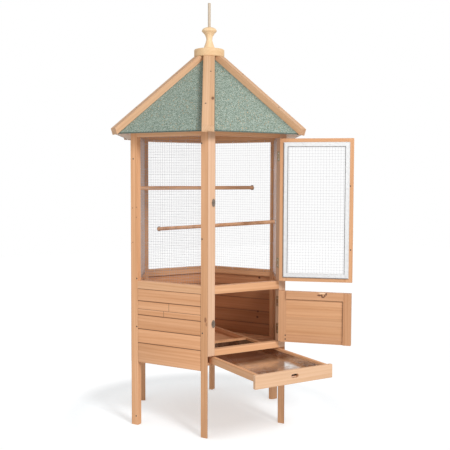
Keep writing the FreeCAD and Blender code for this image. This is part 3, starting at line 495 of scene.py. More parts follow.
def stained(colour, at, turns, centre, reach, shade, share, turn):
    """Wood with a stain of uneven outline, on one panel only where a turn is given."""
    uneven = vector_calc("SCALE", noise(at, STAIN_OUTLINE)["Color"], 0.5)
    away = vector_calc("ADD", from_middle(at, centre, reach), uneven)
    away = vector_calc("LENGTH", vector_calc("SUBTRACT", away, (0.25,) * 3))
    mask = times(fade(away, 1.15, 0.6), share)
    if turn is not None:
        mask = times(mask, on_panel(turns, turn))
    return blend(mask, colour, shade)


def jointed(colour, at, turns, centre, reach, turn):
    """Wood with a short dark joint on one panel."""
    away = axes(vector_calc("ABSOLUTE", from_middle(at, centre, reach)))
    within = calc("LESS_THAN", calc("MAXIMUM", away["X"], away["Z"]), 1.0)
    mask = times(within, 0.75, on_panel(turns, turn))
    return blend(mask, colour, JOINT_SHADE)


def seamed(colour, apart, axis, places, half, share):
    """Wood with painted shade in the joints across an axis."""
    for place in places:
        far = calc("ABSOLUTE", calc("SUBTRACT", apart[axis], place))
        colour = blend(fade(far, half, 0.4 * half, 0.0, share), colour, JOINT_SHADE)
    return colour


MARK_DEPTH = 9 * MM


def mark(place, half_size, shade, share, turn=None, depth=-FACE):
    """A stain at (x, z), with half its width and height, all in millimetres."""
    (x, z), (wide, tall) = mm(*place), mm(*half_size)
    return (x, depth, z), (wide, MARK_DEPTH, tall), shade, share, turn


def felt(name):
    """Green mineral felt, darker at its turned-down edge, with painted shade along the battens and a
    painted shadow to one side of each.
    """
    material, shader, at = new_material(name)
    made = use(GRANULES, {
        "Vector": at, "Dark": (0.125, 0.17, 0.135), "Main": (0.265, 0.335, 0.275),
        "Light": (0.48, 0.55, 0.485), "Fleck": (0.80, 0.38, 0.10), "Size": 1.9 * MM,
    })
    parts = axes(use(FOLD, {"Vector": at, "Middle": PANEL_MIDDLE})["Vector"])
    edge = fade(parts["Z"], EAVE + 6 * MM, EAVE + 3 * MM, 0.0, 0.75)
    outwards = times(parts["Y"], -math.sin(HALF_TURN))
    sideways = times(calc("ABSOLUTE", parts["X"]), math.cos(HALF_TURN))
    from_hip = calc("SUBTRACT", outwards, sideways)
    # Painted shade along each batten, where it meets the felt
    beside = fade(from_hip, HALF_BATTEN + 4 * MM, HALF_BATTEN + 1 * MM, 0.0, 0.6)
    # Painted shadow that each batten casts to one side
    batten_cast_shadow = fade(from_hip, HALF_BATTEN + 26 * MM, HALF_BATTEN, 0.0, 0.4)
    batten_cast_shadow = times(batten_cast_shadow, calc("GREATER_THAN", parts["X"], 0.0))
    edge = calc("MAXIMUM", edge, calc("MAXIMUM", beside, batten_cast_shadow))
    # The same dark felt colour for the turned-down edge and for the painted shade and shadow of the
    # battens
    colour = blend(edge, made["Color"], (0.06, 0.085, 0.07))
    give_finish(shader, colour, made, 0.7 * MM, 1.0, {"Specular IOR Level": 0.3})
    return material


def zinc(name, bright, dull, crystal, smoothest, spread, metal=1.0, shade=False):
    """Galvanised steel, if asked with painted shade behind the drawer's front and, under the cage,
    painted shade and a painted brown reflection of the wood.

    crystal is their size in millimetres. The roughness goes up from smoothest by spread.
    """
    material, shader, at = new_material(name)
    made = use(ZINC, {
        "Vector": at, "Bright": bright, "Dull": dull, "Crystal": crystal * MM,
        "Smoothest": smoothest, "Spread": spread,
    })
    colour = made["Color"]
    if shade:
        depth = axes(at)["Y"]
        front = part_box("drawer_front")[1].y
        # Painted shade right behind the drawer's front board
        share = fade(depth, front + 12 * MM, front + 4 * MM, 0.0, 0.95)
        colour = blend(share, colour, (0.05, 0.025, 0.015))
        # Painted shade and a painted brown reflection of the wood around it, under the cage
        share = fade(depth, -INNER - 30 * MM, -INNER + 10 * MM, 0.0, 0.8)
        colour = blend(share, colour, (0.36, 0.22, 0.13))
    give_finish(shader, colour, made, 0.2 * MM, 0.5, {"Metallic": metal})
    return material


# Half widths of dark lines: the drawn joints, and the painted shade in the seams of boards and at the
# lower door's frame
LINE, SEAM, DOOR_SEAM = mm(0.9, 2.3, 3)
# The board below the uppermost one of the left front panel is made of two strips, each with a joint
STRIPS_LOW, STRIPS_TOP = BOARD_SEAMS[-2:]
STRIPS_SPLIT = 428.7 * MM
LOW_STRIP, HIGH_STRIP = (STRIPS_SPLIT - STRIPS_LOW) / 2, (STRIPS_TOP - STRIPS_SPLIT) / 2
# A knot like a W on the top rail of the lower door: middle, half width and half height of each stroke
W_STROKES = (
    (-18, 488, 8.5, 3.4), (-27, 487, 3, 6), (-31, 482, 6, 3), (-37, 487, 3.4, 4.2), (-42, 493, 3.6, 5),
)
PLANKS = 6

stile_wood = wood(
    "fir_stiles", "fir", "z", 1, LEFT_RIGHT, PANEL_MIDDLE, Tone=0.2,
    marks=[
        mark((152, 414), (5, 10), (0.25, 0.10, 0.045), 0.8, LEFT_FRONT),
        mark((156, 399), (4, 8), (0.30, 0.13, 0.06), 0.6, LEFT_FRONT),
    ] + [
        mark(place, (2.6, 2.6), (0.27, 0.11, 0.05), 0.75, LEFT_FRONT)
        for place in ((-154, 792), (-137, 795), (-137, 759), (-153, 668))
    ],
    # Painted shade in the mitre joints at the corners
    seams=[("X", (-MITRE, MITRE), 2 * MM, 0.35)],
)
# The front panel's stiles are fir painted paler, as lit, than the other stiles
painted_lit_front_stile_wood = wood("painted_lit_fir_stiles", "painted lit fir", "z", 1.6, LEFT_RIGHT, PANEL_MIDDLE)
rail_wood = wood(
    # Painted shade in the seam under the sill
    "fir_rails", "fir", "x", 2, (2, 0, 0.4), PANEL_MIDDLE, seams=[("Z", (SILL_BOTTOM,), 1.5 * MM, 0.4)],
)
board_look = {
    "Tone": 0.16, "middle": PANEL_MIDDLE, "dim": BACK_OF_BOARDS,
    "cut": (2, BOARD_SEAMS[0], BOARD_HEIGHT),
    # Painted shade in the seams between the boards, under the sill and against the stiles
    "seams": [
        ("Z", BOARD_SEAMS, SEAM, 0.75), ("Z", (SILL_BOTTOM,), SEAM, 0.8),
        ("X", (-HALF_OPENING, HALF_OPENING), SEAM, 0.7),
    ],
}
board_wood = wood(
    "fir_boards", "board fir", "x", 3, **board_look,
    marks=[
        mark(place, (6, 5), DARK_KNOT, 0.95, RIGHT_BACK, BOARD_FACE)
        for place in ((-83, 494), (-77, 355), (-75, 331))
    ],
)
jointed_wood = wood(
    "finger_jointed_boards", "board fir", "x", 3.5, **board_look,
    lines=[
        ((0, 0, STRIPS_SPLIT), (HALF_OPENING, 1, LINE), LEFT_FRONT),
        ((1 * MM, 0, STRIPS_SPLIT + HIGH_STRIP), (LINE, 1, HIGH_STRIP), LEFT_FRONT),
        ((-21 * MM, 0, STRIPS_SPLIT - LOW_STRIP), (LINE, 1, LOW_STRIP), LEFT_FRONT),
    ],
)
batten_wood = wood("fir_battens", "batten fir", "hip", 4, middle=HIP_MIDDLE, Tone=0.10)
roof_wood = wood("pale_roof_sheet", "pale ply", "x", 5, middle=PANEL_MIDDLE, **CLEAR)
perch_wood = wood("dowel_perches", "dowel", "x", 6, (2, 0, 0.78), **CLEAR)
plank_wood = wood("fir_floor", "shaded fir", "x", 7, (1, -INNER, 2 * INNER / PLANKS))
bearer_wood = wood("fir_bearers", "shaded fir", "x", 8, middle=PANEL_MIDDLE)
guide_wood = wood("fir_guides", "shaded fir", "y", 9, LEFT_RIGHT)
drawer_face_wood = wood("fir_drawer_front", "drawer fir", "x", 10, Figure=4.0)
drawer_side_wood = wood("fir_drawer_sides", "fir", "y", 11, (0, -0.14, 0.28))
drawer_floor_wood = wood("plywood_drawer_bottom", "shaded fir", "x", 12, **CLEAR)
door_stile_wood = wood(
    "fir_mesh_door_stiles", "door fir", "z", 13, LEFT_RIGHT, place=SWING["mesh_door"],
)
door_rail_wood = wood(
    "fir_mesh_door_rails", "door fir", "x", 14, (2, 0, 0.8), place=SWING["mesh_door"],
)
lower_frame_wood = wood(
    "fir_lower_door_frame", "lower door fir", "x", 15, (0, -DOOR_INNER, 2 * DOOR_INNER),
    place=SWING["lower_door"], upright=DOOR_INNER,
    marks=[mark((-28, 496), (14, 3), (0.92, 0.66, 0.44), 0.8, depth=DOOR_BACK)] + [
        mark((x, z), (wide, tall), DARK_KNOT, 0.9, depth=DOOR_BACK) for x, z, wide, tall in W_STROKES
    ],
)
lower_board_wood = wood(
    "fir_lower_door_boards", "door fir", "x", 16, (2, DOOR_BOARDS_LOW, DOOR_BOARD_HEIGHT),
    place=SWING["lower_door"],
    # Painted shade in the seams against the frame
    seams=[
        ("X", (-DOOR_INNER,), DOOR_SEAM, 0.8), ("Z", (LOWER_DOOR_HIGH - DOOR_MEMBER,), DOOR_SEAM, 0.75),
    ],
)
cap_wood = wood("pine_cap", "cap pine", "x", 17, **CLEAR)
finial_wood = wood("pine_finial", "finial pine", "z", 18, **CLEAR)
spike_wood = wood("bare_spike", "bare rod", "z", 19, **CLEAR)
felt_cover = felt("mineral_felt")
wire_zinc = zinc("galvanised_wire", (0.50, 0.50, 0.53), (0.32, 0.32, 0.35), 4, 0.35, 0.2, 0.7)
strip_zinc = zinc("galvanised_strip", (0.74, 0.735, 0.73), (0.66, 0.65, 0.645), 10, 0.5, 0.15, 0.1)
# Dark zinc for the edging's beads: painted shade on the rolled edges
bead_shade_zinc = zinc("strip_rolled_edge_painted_shade", (0.30, 0.29, 0.29), (0.19, 0.185, 0.185), 4, 0.4, 0.2, 0.3)
# The tray gets painted shade and a painted reflection of the wood
tray_zinc = zinc("galvanised_tray", (0.80, 0.77, 0.74), (0.62, 0.59, 0.56), 14, 0.14, 0.12, shade=True)
hinge_zinc = zinc("brassed_hinges", (0.50, 0.40, 0.27), (0.30, 0.23, 0.15), 3, 0.34, 0.15)
button_zinc = zinc("zinc_buttons", (0.30, 0.245, 0.20), (0.13, 0.10, 0.08), 3, 0.32, 0.2)
washer_zinc = zinc("zinc_washers", (0.60, 0.52, 0.45), (0.44, 0.38, 0.33), 3, 0.4, 0.15)
# Screw heads painted dark as the shade in their sunk holes
dark_steel_and_hole_shade = zinc("dark_screws", (0.10, 0.09, 0.085), (0.05, 0.045, 0.04), 2, 0.45, 0.2)
bright_steel = zinc("bright_screws", (0.80, 0.80, 0.80), (0.60, 0.60, 0.61), 2, 0.3, 0.15)


def finish_nodes():
    """Gives each CAD node that stays its material, and rounds the edges of most a little."""
    # Material, rounding in millimetres and nodes
    plan = (
        (stile_wood, 0.9, [f"{panel}_stiles" for panel in CLOSED]),
        (painted_lit_front_stile_wood, 0.9, ["front_stiles"]),
        (rail_wood, 0.9, [f"{panel}_rails" for panel in PANELS]),
        (roof_wood, 0, [f"roof_panel_{panel}" for panel in PANELS]),
        (felt_cover, 0, [f"roof_felt_{panel}" for panel in PANELS]),
        (batten_wood, 1.2, ["hip_battens"]), (spike_wood, 1, ["spike"]),
        (perch_wood, 0.8, ["upper_perch", "lower_perch"]), (plank_wood, 0, ["floor_planks"]),
        (bearer_wood, 0, ["floor_bearers"]), (guide_wood, 0.8, ["drawer_guides"]),
        (drawer_face_wood, 1.2, ["drawer_front"]), (drawer_side_wood, 0, ["drawer_walls"]),
        (drawer_floor_wood, 0, ["drawer_bottom"]), (tray_zinc, 0, ["drawer_tray"]),
        (door_stile_wood, 1.2, ["mesh_door_stiles"]), (door_rail_wood, 1.2, ["mesh_door_rails"]),
        (lower_frame_wood, 0, ["lower_door_frame"]), (hinge_zinc, 0, ["hinge_pins"]),
        (hinge_zinc, 0, [f"{side}_hinge_leaves" for side in ("mesh_door", "lower_door", "frame")]),
        (button_zinc, 0.4, ["upper_turn_button", "lower_turn_button"]),
        (button_zinc, 0, ["turn_button_screws"]),
    )
    for material, rounding, names in plan:
        for node in (frame["nodes"][name] for name in names):
            node.data.materials.clear()
            node.data.materials.append(material)
            if rounding:
                node.modifiers.new("joined corners", "WELD").merge_threshold = 0.01 * MM
                soft = node.modifiers.new("rounded edges", "BEVEL")
                soft.width, soft.segments = rounding * MM, 2
                soft.limit_method, soft.angle_limit = "ANGLE", math.radians(35)


# Shapes

def new_object(name, data):
    """A new object in the scene."""
    thing = bpy.data.objects.new(name, data)
    bpy.context.scene.collection.objects.link(thing)
    return thing


def add_piece(name, mesh, material, body, matrix=None, replaced=()):
    """A finished piece, its place in its mesh, riding on a body."""
    if matrix is not None:
        mesh.transform(matrix)
    mesh.materials.clear()
    mesh.materials.append(material)
    piece = new_object(name, mesh)
    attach(piece, body)
    if replaced:
        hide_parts(*replaced)
    return piece


def grown(name, tree, values, points=None):
    """The plain mesh that a Geometry Nodes tree makes."""
    base = new_object(name, points or bpy.data.meshes.new(name))
    modifier = base.modifiers.new(name, "NODES")
    modifier.node_group = tree
    for item in tree.interface.items_tree:
        if item.in_out == "INPUT" and item.name in values:
            modifier[item.identifier] = values[item.name]
    graph = bpy.context.evaluated_depsgraph_get()
    mesh = bpy.data.meshes.new_from_object(base.evaluated_get(graph))
    bpy.data.objects.remove(base)
    return mesh


def end_tree(given, made, shape):
    """Makes the instances real and gives them their material."""
    real = put("GeometryNodeRealizeInstances", {"Geometry": shape}).outputs[0]
    done = put("GeometryNodeSetMaterial", {"Geometry": real, "Material": given["Material"]})
    feed(made, {"Mesh": done.outputs[0]})


def wire_tree():
    """Welded mesh in the XZ plane about the origin: upright wires and, behind them, level ones."""
    tree, given, made = new_group("welded mesh", {
        "Float": {"Width": 0, "Height": 0, "Pitch": WIRE_PITCH, "Wire": WIRE},
        "Material": ["Material"],
    }, {"Geometry": ["Mesh"]}, "GeometryNodeTree")
    radius = calc("DIVIDE", given["Wire"], 2.0)
    join = tree.nodes.new("GeometryNodeJoinGeometry")
    for across, along, axis, side in (("Width", "Height", "X", -1.0), ("Height", "Width", "Z", 1.0)):
        room = calc("SUBTRACT", given[across], given["Wire"])
        spaces = calc("FLOOR", calc("DIVIDE", room, given["Pitch"]))
        first = times(spaces, given["Pitch"], -0.5)
        line = put("GeometryNodeMeshLine", {
            "Count": calc("ADD", spaces, 1.0),
            "Start Location": vector_of(**{axis: first, "Y": times(radius, side)}),
            "Offset": vector_of(**{axis: given["Pitch"]}),
        }).outputs["Mesh"]
        bar = put("GeometryNodeMeshCylinder", {
            "Vertices": WIRE_SIDES, "Radius": radius, "Depth": given[along],
        }).outputs["Mesh"]
        turned = (0, math.pi / 2 if axis == "Z" else 0, 0)
        layer = put("GeometryNodeInstanceOnPoints", {
            "Points": line, "Instance": bar, "Rotation": turned,
        }).outputs["Instances"]
        feed(join.inputs, {0: layer})
    end_tree(given, made, join.outputs[0])
    return tree


def fixing_tree():
    """A small fixing on each point, facing the point's way and turned by chance."""
    tree, given, made = new_group("fixings", {
        "Geometry": ["Points"], "Object": ["Fixing"], "Int": {"Seed": 3}, "Float": {"Spin": math.tau},
        "Material": ["Material"],
    }, {"Geometry": ["Mesh"]}, "GeometryNodeTree")
    shape = put("GeometryNodeObjectInfo", {"Object": given["Fixing"]}).outputs["Geometry"]
    facing = put(
        "GeometryNodeInputNamedAttribute", {"Name": "facing"}, tree, data_type="FLOAT_VECTOR",
    ).outputs["Attribute"]
    way = put("FunctionNodeAlignRotationToVector", {"Vector": facing}, axis="Z").outputs[0]
    set_out = put("GeometryNodeInstanceOnPoints", {
        "Points": given["Points"], "Instance": shape, "Rotation": way,
    }).outputs["Instances"]
    # Input 3 and output 1 are the node's sockets for plain numbers
    numbers = {3: given["Spin"], "Seed": given["Seed"]}
    chance = put("FunctionNodeRandomValue", numbers, data_type="FLOAT").outputs[1]
    turned = put("GeometryNodeRotateInstances", {
        "Instances": set_out, "Rotation": vector_of(Z=chance),
    }).outputs[0]
    end_tree(given, made, turned)
    return tree


WIRES = wire_tree()
FIXINGS = fixing_tree()


def new_mesh(name, shell):
    """The mesh of a finished shell."""
    mesh = bpy.data.meshes.new(name)
    shell.to_mesh(mesh)
    shell.free()
    return mesh


def circle(shell, radius, height, sides):
    """Adds a level ring of points about Z to a shell."""
    angles = [math.tau * i / sides for i in range(sides)]
    return [shell.verts.new((radius * math.cos(a), radius * math.sin(a), height)) for a in angles]


def wall(shell, low, high):
    """Adds the faces between two rings, either of which may be a single point."""
    count = max(len(low), len(high))
    for i in range(count):
        j = (i + 1) % count
        corners = (low[i % len(low)], low[j % len(low)], high[j % len(high)], high[i % len(high)])
        shell.faces.new(list(dict.fromkeys(corners)))


def revolved(name, profile, sides):
    """A closed shape turned about Z from corners (radius, height), the first and last on Z."""
    shell = bmesh.new()
    rings = [
        circle(shell, radius, height, sides) if radius else [shell.verts.new((0, 0, height))]
        for radius, height in profile
    ]
    for low, high in zip(rings, rings[1:]):
        wall(shell, low, high)
    bmesh.ops.recalc_face_normals(shell, faces=shell.faces)
    for face in shell.faces:
        face.smooth = True
    return new_mesh(name, shell)


def arc(centre, radius, start, end, steps=5):
    """Points of an arc in a profile, its angles in degrees."""
    angles = [math.radians(start + (end - start) * i / steps) for i in range(steps + 1)]
    return [(centre[0] + radius * math.cos(a), centre[1] + radius * math.sin(a)) for a in angles]


def bar(shell, start, end, radius):
    """Adds a straight round bar to a shell."""
    start, end = Vector(start), Vector(end)
    way = (end - start).to_track_quat("Z", "Y")
    rings = []
    for foot in (start, end):
        rings.append(circle(shell, radius, 0, WIRE_SIDES))
        for point in rings[-1]:
            point.co = foot + way @ point.co
    wall(shell, *rings)
    shell.faces.new(rings[0][::-1])
    shell.faces.new(rings[1])


def staple_shape():
    """A wire staple: its crown lies on the mesh and its legs go down."""
    shell = bmesh.new()
    half, wire, depth = mm(4.5, 0.6, 3)
    bar(shell, (-half, 0, wire), (half, 0, wire), wire)
    for side in (-half, half):
        bar(shell, (side, 0, wire), (side, 0, -depth), wire)
    return new_mesh("staple", shell)


# Heads of screws and nails: radius, height of the edge and rise of the middle, in millimetres
HEADS = {
    "stile": (2.6, 0.25, 0.1), "batten": (2.8, 0.3, 0.1), "perch": (3.4, 0.9, 0.9),
    "door": (2.4, 0.25, 0.1), "hinge": (2.2, 0.18, 0.05),
}
HEAD_SIDES = 24


def cross_head(sort):
    """The head of a screw with a cross recess, standing on the XY plane."""
    radius, height, rise = mm(*HEADS[sort])
    top, flat = height + rise, 0.78 * radius
    arm, half_slot, floor, taper = 0.58 * radius, 0.13 * radius, 0.35 * height, 0.7
    turns = [Matrix.Rotation(quarter * math.pi / 2, 3, "Z") for quarter in range(4)]
    corners = ((half_slot, -half_slot, 0), (arm, -half_slot, 0), (arm, half_slot, 0))
    cross = [turn @ Vector(corner) for turn in turns for corner in corners]
    shell = bmesh.new()
    mouth = [shell.verts.new((p.x, p.y, top)) for p in cross]
    deep = [shell.verts.new((p.x * taper, p.y * taper, floor)) for p in cross]
    rings = [
        circle(shell, reach, level, HEAD_SIDES)
        for reach, level in ((flat, top), (radius, height), (radius, -height))
    ]
    for low, high in (*zip(rings, rings[1:]), (deep, mouth)):
        wall(shell, low, high)
    shell.faces.new(deep)
    shell.faces.new(rings[-1])
    loops = [pair for loop in (mouth, rings[0]) for pair in zip(loop, loop[1:] + loop[:1])]
    edges = [shell.edges.get(pair) for pair in loops]
    bmesh.ops.triangle_fill(shell, edges=edges, use_beauty=True)
    bmesh.ops.recalc_face_normals(shell, faces=shell.faces)
    return new_mesh("cross_head", shell)


def fixings(name, shape, places, material, body="cage"):
    """Small equal fixings, each at a point and facing a direction."""
    points = bpy.data.meshes.new(name)
    points.from_pydata([tuple(point) for point, _ in places], [], [])
    facing = points.attributes.new("facing", "FLOAT_VECTOR", "POINT")
    facing.data.foreach_set("vector", [n for _, way in places for n in way])
    pattern = bpy.data.objects.new(f"{name}_pattern", shape)
    mesh = grown(name, FIXINGS, {"Fixing": pattern, "Material": material}, points)
    bpy.data.objects.remove(pattern)
    add_piece(name, mesh, material, body)


def carried(matrices, spots, depth, way):
    """Spots (x, z) of the front panel or a closed door and their way, as each matrix moves them."""
    return [
        (matrix @ Vector((x, depth, z)), matrix.to_3x3() @ Vector(way))
        for matrix in matrices for x, z in spots
    ]


def spaced(low, high, count):
    """So many places, evenly spaced from one to another."""
    return [low + (high - low) * i / (count - 1) for i in range(count)]


def around(side, low, high, beside, half_row, above, ends):
    """Places (x, z) on all four sides of a mesh: so many beside it, and above and below it."""
    places = [(x, z) for z in spaced(low, high, beside) for x in (-side, side)]
    return places + [(x, z) for x in spaced(-half_row, half_row, above) for z in ends]


def build_boards():
    """Boards with their edges planed off a little, so that each seam is a groove."""
    ends = [BOARDS_BOTTOM, *BOARD_SEAMS, SILL_BOTTOM]
    for panel in CLOSED:
        look = jointed_wood if panel == "left_front" else board_wood
        planed_boards(f"{panel}_boards", ends, look, "cage", 1.1 * MM)
    planed_boards("lower_door_boards", DOOR_BOARD_ENDS, lower_board_wood, "lower_door", 0.3 * MM)


def planed_boards(name, ends, material, body, soft):
    """A node's level boards, told apart by the heights they end at, with soft edges."""
    made = bmesh.new()
    nudge = 0.1 * MM
    for low, high in zip(ends, ends[1:]):
        board = bmesh.new()
        board.from_mesh(frame["nodes"][name].data)
        board.faces.ensure_lookup_table()
        other = [
            face for face in board.faces
            if not low < face.calc_center_median().z - face.normal.z * nudge < high
        ]
        bmesh.ops.delete(board, geom=other, context="FACES")
        bmesh.ops.remove_doubles(board, verts=board.verts, dist=0.01 * MM)
        flat = math.radians(1)
        bmesh.ops.dissolve_limit(board, angle_limit=flat, verts=board.verts, edges=board.edges)
        sharp = [edge for edge in board.edges if edge.is_manifold and edge.calc_face_angle() > 0.6]
        shape = {"segments": 2, "profile": 0.5, "affect": "EDGES", "clamp_overlap": True}
        bmesh.ops.bevel(board, geom=sharp, offset=soft, **shape)
        mesh = new_mesh(name, board)
        made.from_mesh(mesh)
        bpy.data.meshes.remove(mesh)
    mesh = new_mesh(f"{name}_planed", made)
    add_piece(f"{name}_planed", mesh, material, body, replaced=[name])


def build_meshes():
    """Round wires in place of the square ones of the frame."""
    for panel in CLOSED:
        hang_mesh(
            f"{panel}_wires", f"{panel}_mesh", "cage", HALF_OPENING + MESH_LAP, SQUARE_WIRE - INNER,
            PANEL_TURN[panel],
        )
    hang_mesh(
        "door_wires", "mesh_door_mesh", "mesh_door", DOOR_INNER + MESH_LAP,
        DOOR_DEPTH + SQUARE_WIRE - FACE, SWING["mesh_door"],
    )


def hang_mesh(name, node, body, half, depth, moved):
    """Welded mesh in the place of a node, from half its width and its depth on the front panel."""
    low, high = heights(node)
    mesh = grown(name, WIRES, {"Width": 2 * half, "Height": high - low, "Material": wire_zinc})
    middle = Matrix.Translation((0, depth, (low + high) / 2))
    add_piece(name, mesh, wire_zinc, body, moved @ middle, [node])


# One half of the edging's section, in millimetres from its outer edge and from the mesh
EDGING_BEAD = ((0, 0), (0, 1.2), (0.8, 1.8), (2.0, 1.8), (2.8, 1))
# Sides of the edging whose outer bead is in painted shade, counted from below round by the hinge
BELOW_AND_HINGE = (0, 1)


def build_edging():
    """The metal strip around the door's mesh: flat, with a rolled bead at either edge."""
    tall = (MESH_DOOR_HIGH - MESH_DOOR_LOW) / 2
    skin = DOOR_DEPTH + 2 * SQUARE_WIRE - FACE
    profile = [*EDGING_BEAD, *((EDGING_WIDTH / MM - x, y) for x, y in EDGING_BEAD[::-1])]
    shell = bmesh.new()
    rings = []
    for inset, proud in profile:
        x, z = DOOR_HALF - EDGING_INSET - inset * MM, tall - EDGING_INSET - inset * MM
        corners = ((-x, -z), (x, -z), (x, z), (-x, z))
        rings.append([shell.verts.new((x, skin + proud * MM, z)) for x, z in corners])
    for near, far in zip(rings, rings[1:] + rings[:1]):
        wall(shell, near, far)
    bmesh.ops.recalc_face_normals(shell, faces=shell.faces)
    middle = Matrix.Translation((0, 0, (MESH_DOOR_LOW + MESH_DOOR_HIGH) / 2))
    piece = add_piece(
        "folded_strip", new_mesh("folded_strip", shell), strip_zinc, "mesh_door",
        SWING["mesh_door"] @ middle, ["mesh_door_edging"],
    )
    piece.data.materials.append(bead_shade_zinc)
    # The outer bead below and at the hinge, and the inner bead but for its lowest side, take the painted
    # shade
    for polygon in piece.data.polygons:
        ring, side = divmod(polygon.index, 4)
        outer = ring < len(EDGING_BEAD) - 1 and side in BELOW_AND_HINGE
        inner = ring >= len(EDGING_BEAD) and side > 0
        polygon.material_index = int(outer or inner)


def build_top():
    """Turned cap disc and finial with smooth curves and rounded edges."""
    soft = 4 * MM
    thick = CAP_HIGH - CAP_LOW
    rim = CAP_RADIUS - soft
    profile = [
        (0, 0), *arc((rim, soft), soft, -90, 0),
        *arc((rim, thick - soft), soft, 0, 90), (0, thick),
    ]
    add_piece(
        "turned_cap", revolved("turned_cap", profile, 96), cap_wood, "cage",
        Matrix.Translation((0, 0, CAP_LOW)), ["cap_disc"],
    )
    # Radii of foot, waist and flare, heights of waist and flare, and the thickness of the lip
    foot, waist, flare = mm(24, 11.3, 28)
    neck, wide, lip = mm(37, 67.5, 2)
    foot_curve, flare_curve, steps = 1.25, 2.1, 16
    dome, peak = wide + lip, heights("finial")[1] - CAP_HIGH
    shares = [i / steps for i in range(steps)]
    angles = [math.pi / 2 * share for share in shares]
    profile = [
        (0, 0),
        *((waist + (foot - waist) * (1 - share) ** foot_curve, neck * share) for share in shares),
        *((waist + (flare - waist) * s ** flare_curve, neck + (wide - neck) * s) for s in shares),
        (flare, wide),
        *((flare * math.cos(a), dome + (peak - dome) * math.sin(a)) for a in angles),
        (0, peak),
    ]
    add_piece(
        "turned_finial", revolved("turned_finial", profile, 72), finial_wood, "cage",
        Matrix.Translation((0, 0, CAP_HIGH)), ["finial"],
    )


# Places (x, z) of the small fixings on the front panel or a closed door
STILE_SCREWS = all_mm((136, 1018), (-150, 968), (138, 692), (-136, 538), (-137, 363), (140, 367))
FOOT_SCREW = all_mm((-141, 33))
DOOR_SCREWS = all_mm((-118, 874), (-122, 650))
LOWER_DOOR_NAILS = all_mm((104, 338), (104, 324))
LOWER_BOARD_BACK = 14 * MM - FACE
# How far out and how far aside the screws of a batten sit
BATTEN_SCREWS = all_mm((140, 7), (295, -9))
# Where each perch ends, and the turn of the panel that holds it
PERCH_ENDS = (
    ((247, 83, 862), 120), ((-247, 83, 862), 240), ((-86, 255.7, 694), 180), ((250, -78, 731), 60),
)


def build_frame_screws():
    """Screws in the stiles, in one leg and in the hip battens."""
    screws = carried(CLOSED_TURNS, STILE_SCREWS, -FACE, OUTWARDS)
    screws += carried([PANEL_TURN["left_front"]], FOOT_SCREW, -FACE, OUTWARDS)
    fixings("stile_screws", cross_head("stile"), screws, dark_steel_and_hole_shade)
    up = (0, -math.sin(HIP_SLOPE), math.cos(HIP_SLOPE))
    screws = []
    for i in range(len(PANELS)):
        turn = Matrix.Rotation(HALF_TURN + TURN * i, 4, "Z")
        for reach, aside in BATTEN_SCREWS:
            height = CAP_LOW - (reach - CAP_RADIUS) * math.tan(HIP_SLOPE)
            screws += carried([turn], [(aside, height)], -reach, up)
    fixings("batten_screws", cross_head("batten"), screws, dark_steel_and_hole_shade)


def build_staples():
    """Staples that hold the mesh behind the panels, on all four sides of it."""
    inset, half_row, edge = *mm(20, 108), MESH_LAP / 2
    places = around(
        HALF_OPENING + edge, MESH_LOW + inset, MESH_HIGH - inset, 6, half_row, 4,
        (MESH_LOW + edge, MESH_HIGH - edge),
    )
    staples = carried(CLOSED_TURNS, places, SQUARE_WIRE + WIRE - INNER, INWARDS)
    fixings("mesh_staples", staple_shape(), staples, bright_steel)


def build_perch_ends():
    """A screw with a washer against the mesh at each end of the perches."""
    washers = []
    for end, turn in PERCH_ENDS:
        way = Matrix.Rotation(math.radians(turn), 3, "Z") @ Vector(OUTWARDS)
        place = Vector(mm(*end))
        washers.append((place + way * (INNER - place.dot(way)), way))
    profile = all_mm((0, 0), (10, 0), (10, 0.7), (9.6, 1), (3.2, 1), (0, 1))
    fixings("perch_washers", revolved("washer", profile, 32), washers, washer_zinc)
    thick = profile[-1][1]
    heads = [(place + way * thick, way) for place, way in washers]
    fixings("perch_screws", cross_head("perch"), heads, bright_steel)


def build_door_fixings():
    """Screws and nails in the doors, and the nails along the metal edging."""
    head = cross_head("door")
    for name, door, spots, depth in (
        ("mesh_door_screws", "mesh_door", DOOR_SCREWS, DOOR_BACK),
        ("lower_door_nails", "lower_door", LOWER_DOOR_NAILS, LOWER_BOARD_BACK),
    ):
        fixings(name, head, carried([SWING[door]], spots, depth, INWARDS), dark_steel_and_hole_shade, door)
    pin = revolved("pin_head", all_mm((0, 0), (1.6, 0), (1.4, 0.4), (0.8, 0.7), (0, 0.8)), 12)
    on_strip = DOOR_DEPTH + 3 * SQUARE_WIRE - FACE
    inset = EDGING_INSET + EDGING_WIDTH / 2
    low, high = MESH_DOOR_LOW + inset, MESH_DOOR_HIGH - inset
    places = around(DOOR_HALF - inset, low, high, 7, 45 * MM, 2, (low, high))
    nails = carried([SWING["mesh_door"]], places, on_strip, INWARDS)
    fixings("edging_nails", pin, nails, bright_steel, "mesh_door")


def build_hinge_screws():
    """Two screws in each leaf of the hinges, one above the other."""
    head = cross_head("hinge")
    pin = JOINTS["mesh_door_hinge"]["pos_m"][0]
    depth = 8.2 * MM - FACE
    leaf, half_apart = mm(1.2, 10)
    on_frame = []
    # How far the middles of the hinges are from the ends of the door
    for door, node, inset in (
        ("mesh_door", "mesh_door_stiles", 62 * MM), ("lower_door", "lower_door_frame", 42 * MM),
    ):
        low, high = heights(node)
        middles = (low + inset, high - inset)
        on_leaf = [z + step for z in middles for step in (-half_apart, half_apart)]
        on_door = carried([SWING[door]], [(pin - leaf, z) for z in on_leaf], depth, (1, 0, 0))
        fixings(f"{door}_hinge_screws", head, on_door, bright_steel, door)
        on_frame += carried([Matrix.Identity(4)], [(pin + leaf, z) for z in on_leaf], depth, (-1, 0, 0))
    fixings("frame_hinge_screws", head, on_frame, bright_steel)


# Studio

